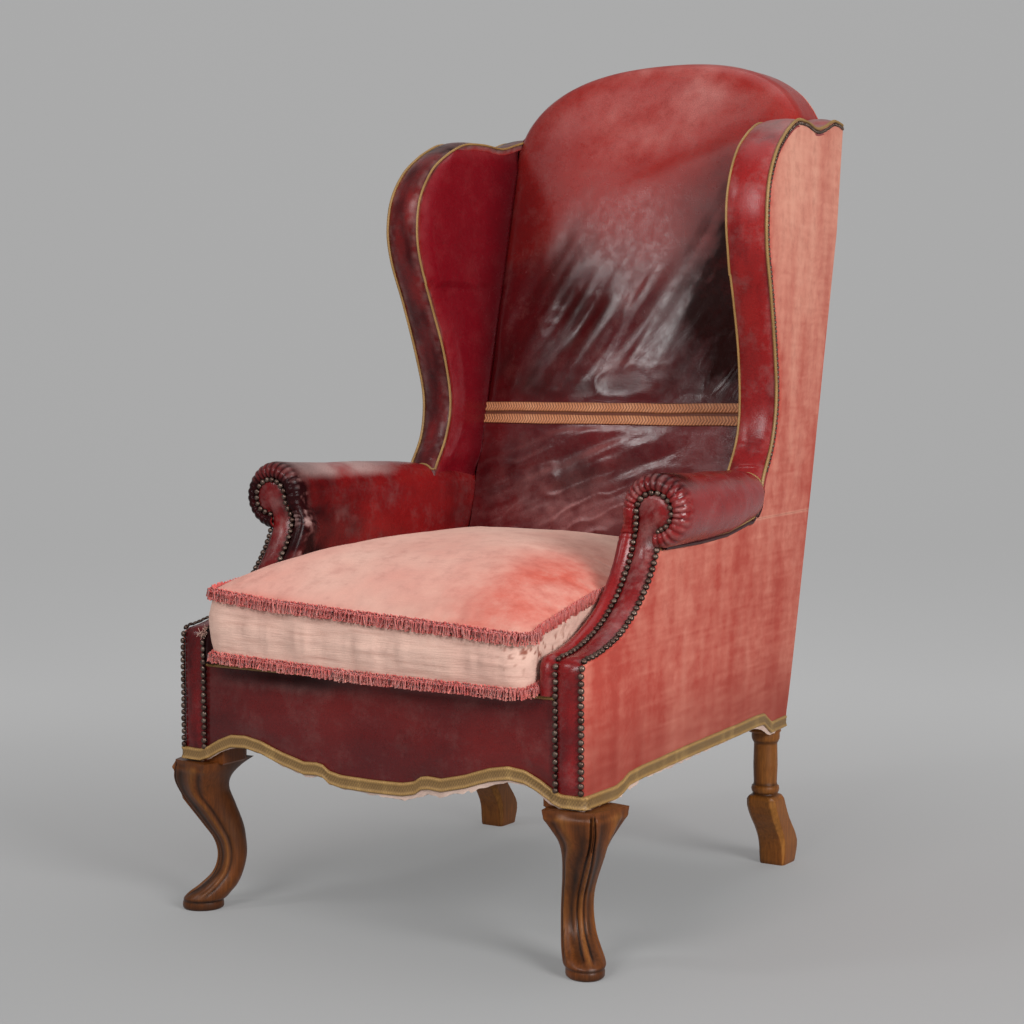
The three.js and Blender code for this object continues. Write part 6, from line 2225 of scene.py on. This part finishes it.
# Near black, so that the cord under each arm roll paints the shadow line in that corner.
SHADED_LEATHER = Leather(
    "shadow_dark_leather_piping", "#3A1214", "#160A0A", "#6A3A36", "#240A0C",
    rough=0.4, glaze=0.0, crinkle=0.0003,
)
FADED_VELVET = Velvet("sun_faded_cotton_velvet", "#C04A3E", "#8A2E26", "#E4A28C", "#DA5E4C")
CUSHION_VELVET = Velvet(
    "worn_cotton_velvet", "#CE9083", "#8E5648", "#DEB8A8", "#C6422F",
    rib=0.0016, bloom=0.3, slub=0.0014, contrast=0.0,
)
GILT_BRAID = Thread("tarnished_gilt_braid", "#A27A44", "#4A321A", "#D2AA68", "#846438", rough=0.5, metal=0.15)
WOVEN_BAND = Thread("faded_silk_herringbone", "#BE7A50", "#4A2418", "#DCA47A", "#8A3A26", rough=0.55)
FRINGE_SILK = Thread(
    "faded_coral_silk_fringe", "#DC5852", "#7A2826", "#EC9A8C", "#E2A496",
    rough=0.75, bloom=0.3,
)
LINING = Thread("frayed_cotton_lining", "#C9A294", "#8A6256", "#E8D2C4", "#D8B8A6", rough=0.9)
WALNUT = Timber("waxed_walnut", "#723C16", "#221006", "#8C5826", "#4C260C", wax=0.03)
REAR_WALNUT = Timber("rubbed_walnut", "#824818", "#341A0A", "#A46C2E", "#643412", wax=0.03)
BEECH = Timber("planed_beech", "#B08A5C", "#7A5A38", "#CBA878", "#9A754A", rough=0.7, wax=0.0)
BRASS = Metal("antiqued_brass", "#7C6A60", "#241A16", "#5E4A42", "#94807A", rough=0.4)
STEEL = Metal("tempered_spring_steel", "#6E6E70", "#2E2C2C", "#8E8E90", "#5A5856", rough=0.45)
JUTE = Fibre("woven_jute_webbing", "#9A7C50", "#5E4A2E", "#B89A6C", "#80663E")
HORSEHAIR = Fibre("teased_horsehair", "#3A2E26", "#1A1512", "#5A4A3E", "#2A211B", strand=0.0012)
LINEN = Fibre("black_linen_dust_cloth", "#26242A", "#121114", "#3C3A42", "#1E1C20", strand=0.0012)


# ---- studio


@dataclass
class Studio:
    """Seamless pale sweep, soft lights and the camera."""

    eye: Triple = (1.59307, -2.58206, 0.75445)
    aim: Triple = (0.0, -0.065, 0.5566)
    lens: float = 72.07
    film: float = 36.0
    grey: str = "#8C8C8C"
    glow: Pair = (0.12, 0.30)
    world_light: float = 0.24

    def build(self) -> None:
        """Makes the camera, the sweep and the lights."""
        scene = bpy.context.scene
        scene.view_settings.view_transform = "Standard"
        data = bpy.data.cameras.new("camera")
        data.lens = self.lens
        data.sensor_width = self.film
        camera = bpy.data.objects.new("camera", data)
        camera.location = self.eye
        camera.rotation_euler = (Vector(self.aim) - Vector(self.eye)).to_track_quat("-Z", "Y").to_euler()
        scene.collection.objects.link(camera)
        scene.camera = camera
        world = bpy.data.worlds.new("studio_air")
        world.use_nodes = True
        air = world.node_tree.nodes["Background"]
        air.inputs["Color"].default_value = srgb("#FFFFFF")
        air.inputs["Strength"].default_value = self.world_light
        scene.world = world
        self.sweep()
        self.softbox("key", (0.3, -3.7, 2.3), (0.0, 0.0, 0.6), 1.4, 62.0)
        self.softbox("high", (-1.85, -2.6, 2.75), (0.0, 0.0, 0.8), 0.55, 17.0)
        self.softbox("fill", (3.7, -1.5, 1.9), (0.0, 0.0, 0.6), 1.6, 138.0)
        self.softbox("top", (0.2, 0.5, 3.6), (0.0, 0.0, 0.3), 2.4, 22.0)

    def sweep(self) -> None:
        """Floor that curves up into the backdrop behind the chair."""
        reach, radius = 9.0, 3.0
        flat = [(-6.0, 0.0), (reach - radius, 0.0)]
        angle = np.linspace(0, math.pi / 2, 24)[1:]
        curve = np.column_stack([reach - radius + radius * np.sin(angle), radius * (1 - np.cos(angle))])
        line = np.vstack([flat, curve, [(reach, 7.0)]])
        gaze = Vector(self.aim) - Vector(self.eye)
        turn = math.atan2(gaze.y, gaze.x)
        along = np.array([math.cos(turn), math.sin(turn)])
        across = np.array([-along[1], along[0]])
        rows = []
        for u in np.linspace(-9, 9, 5):
            rows.append(np.column_stack([line[:, :1] * along + u * across, line[:, 1]]))
        grid = np.stack(rows)
        mesh = bpy.data.meshes.new("sweep")
        index = np.arange(grid.shape[0] * grid.shape[1]).reshape(grid.shape[:2])
        mesh.from_pydata(grid.reshape(-1, 3).tolist(), [], quads(index))
        mesh.shade_smooth()
        paper = bpy.data.materials.new("studio_paper")
        paper.use_nodes = True
        tree = paper.node_tree
        place = node(tree, "TexCoord", out="Object")
        towards = {0: place, 1: (float(along[0]), float(along[1]), 0.35)}
        away = node(tree, "VectorMath", towards, "Value", operation="DOT_PRODUCT")
        rising = {"Value": away, "From Min": -0.7, "From Max": 2.0}
        rising |= {"To Min": self.glow[0], "To Max": self.glow[1]}
        feed(tree.nodes["Principled BSDF"], {
            "Base Color": srgb(self.grey),
            "Roughness": 0.95,
            "Specular IOR Level": 0.1,
            "Emission Color": srgb("#FFFFFF"),
            "Emission Strength": node(tree, "MapRange", rising, interpolation_type="SMOOTHSTEP"),
        })
        mesh.materials.append(paper)
        piece = bpy.data.objects.new("sweep", mesh)
        bpy.context.scene.collection.objects.link(piece)

    def softbox(
        self, name: str, at: Triple, to: Triple, size: float, watts: float
    ) -> None:
        """Square soft light.

        Args:
            name: Name of the light.
            at: Where it stands.
            to: What it points at.
            size: Length of a side, in metres.
            watts: Its power.
        """
        data = bpy.data.lights.new(name, "AREA")
        data.size = size
        data.energy = watts
        lamp = bpy.data.objects.new(name, data)
        lamp.location = at
        lamp.rotation_euler = (Vector(to) - Vector(at)).to_track_quat("-Z", "Y").to_euler()
        bpy.context.scene.collection.objects.link(lamp)


# ---- the whole chair


def main() -> None:
    """Builds the chair piece by piece."""
    logging.basicConfig(level=logging.INFO, format="%(name)s %(message)s")
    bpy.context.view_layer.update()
    Studio().build()
    form = Carcase()
    gilt, brass = GILT_BRAID.make(), BRASS.make()
    arm_leather, velvet, wing_leather = ARM_LEATHER.make(), FADED_VELVET.make(), WING_LEATHER.make()
    lining, walnut, rear_walnut = LINING.make(), WALNUT.make(), REAR_WALNUT.make()
    dark_leather, cushion_velvet = DARK_LEATHER.make(), CUSHION_VELVET.make()
    InsideBack(form, RED_LEATHER.make(), WINE_LEATHER.make(), WOVEN_BAND.make()).build()
    for side in Side:
        Wing(form, side, wing_leather, arm_leather, gilt, brass).build()
        Arm(form, side, arm_leather, brass).build()
        FrontLeg(side, walnut).build()
        RearLeg(side, form, rear_walnut).build()
    Outside(form, velvet, SHADED_LEATHER.make(), gilt).build()
    FrontRail(form, dark_leather, gilt).build()
    BaseBraid(form, gilt, lining).build()
    LooseThreads(lining).build()
    cushion = Cushion(cushion_velvet)
    cushion.build()
    Fringe(cushion, FRINGE_SILK.make()).build()
    HiddenParts(form, BEECH.make(), STEEL.make(), JUTE.make(), HORSEHAIR.make(), LINEN.make()).build()


if __name__ == "__main__":
    main()
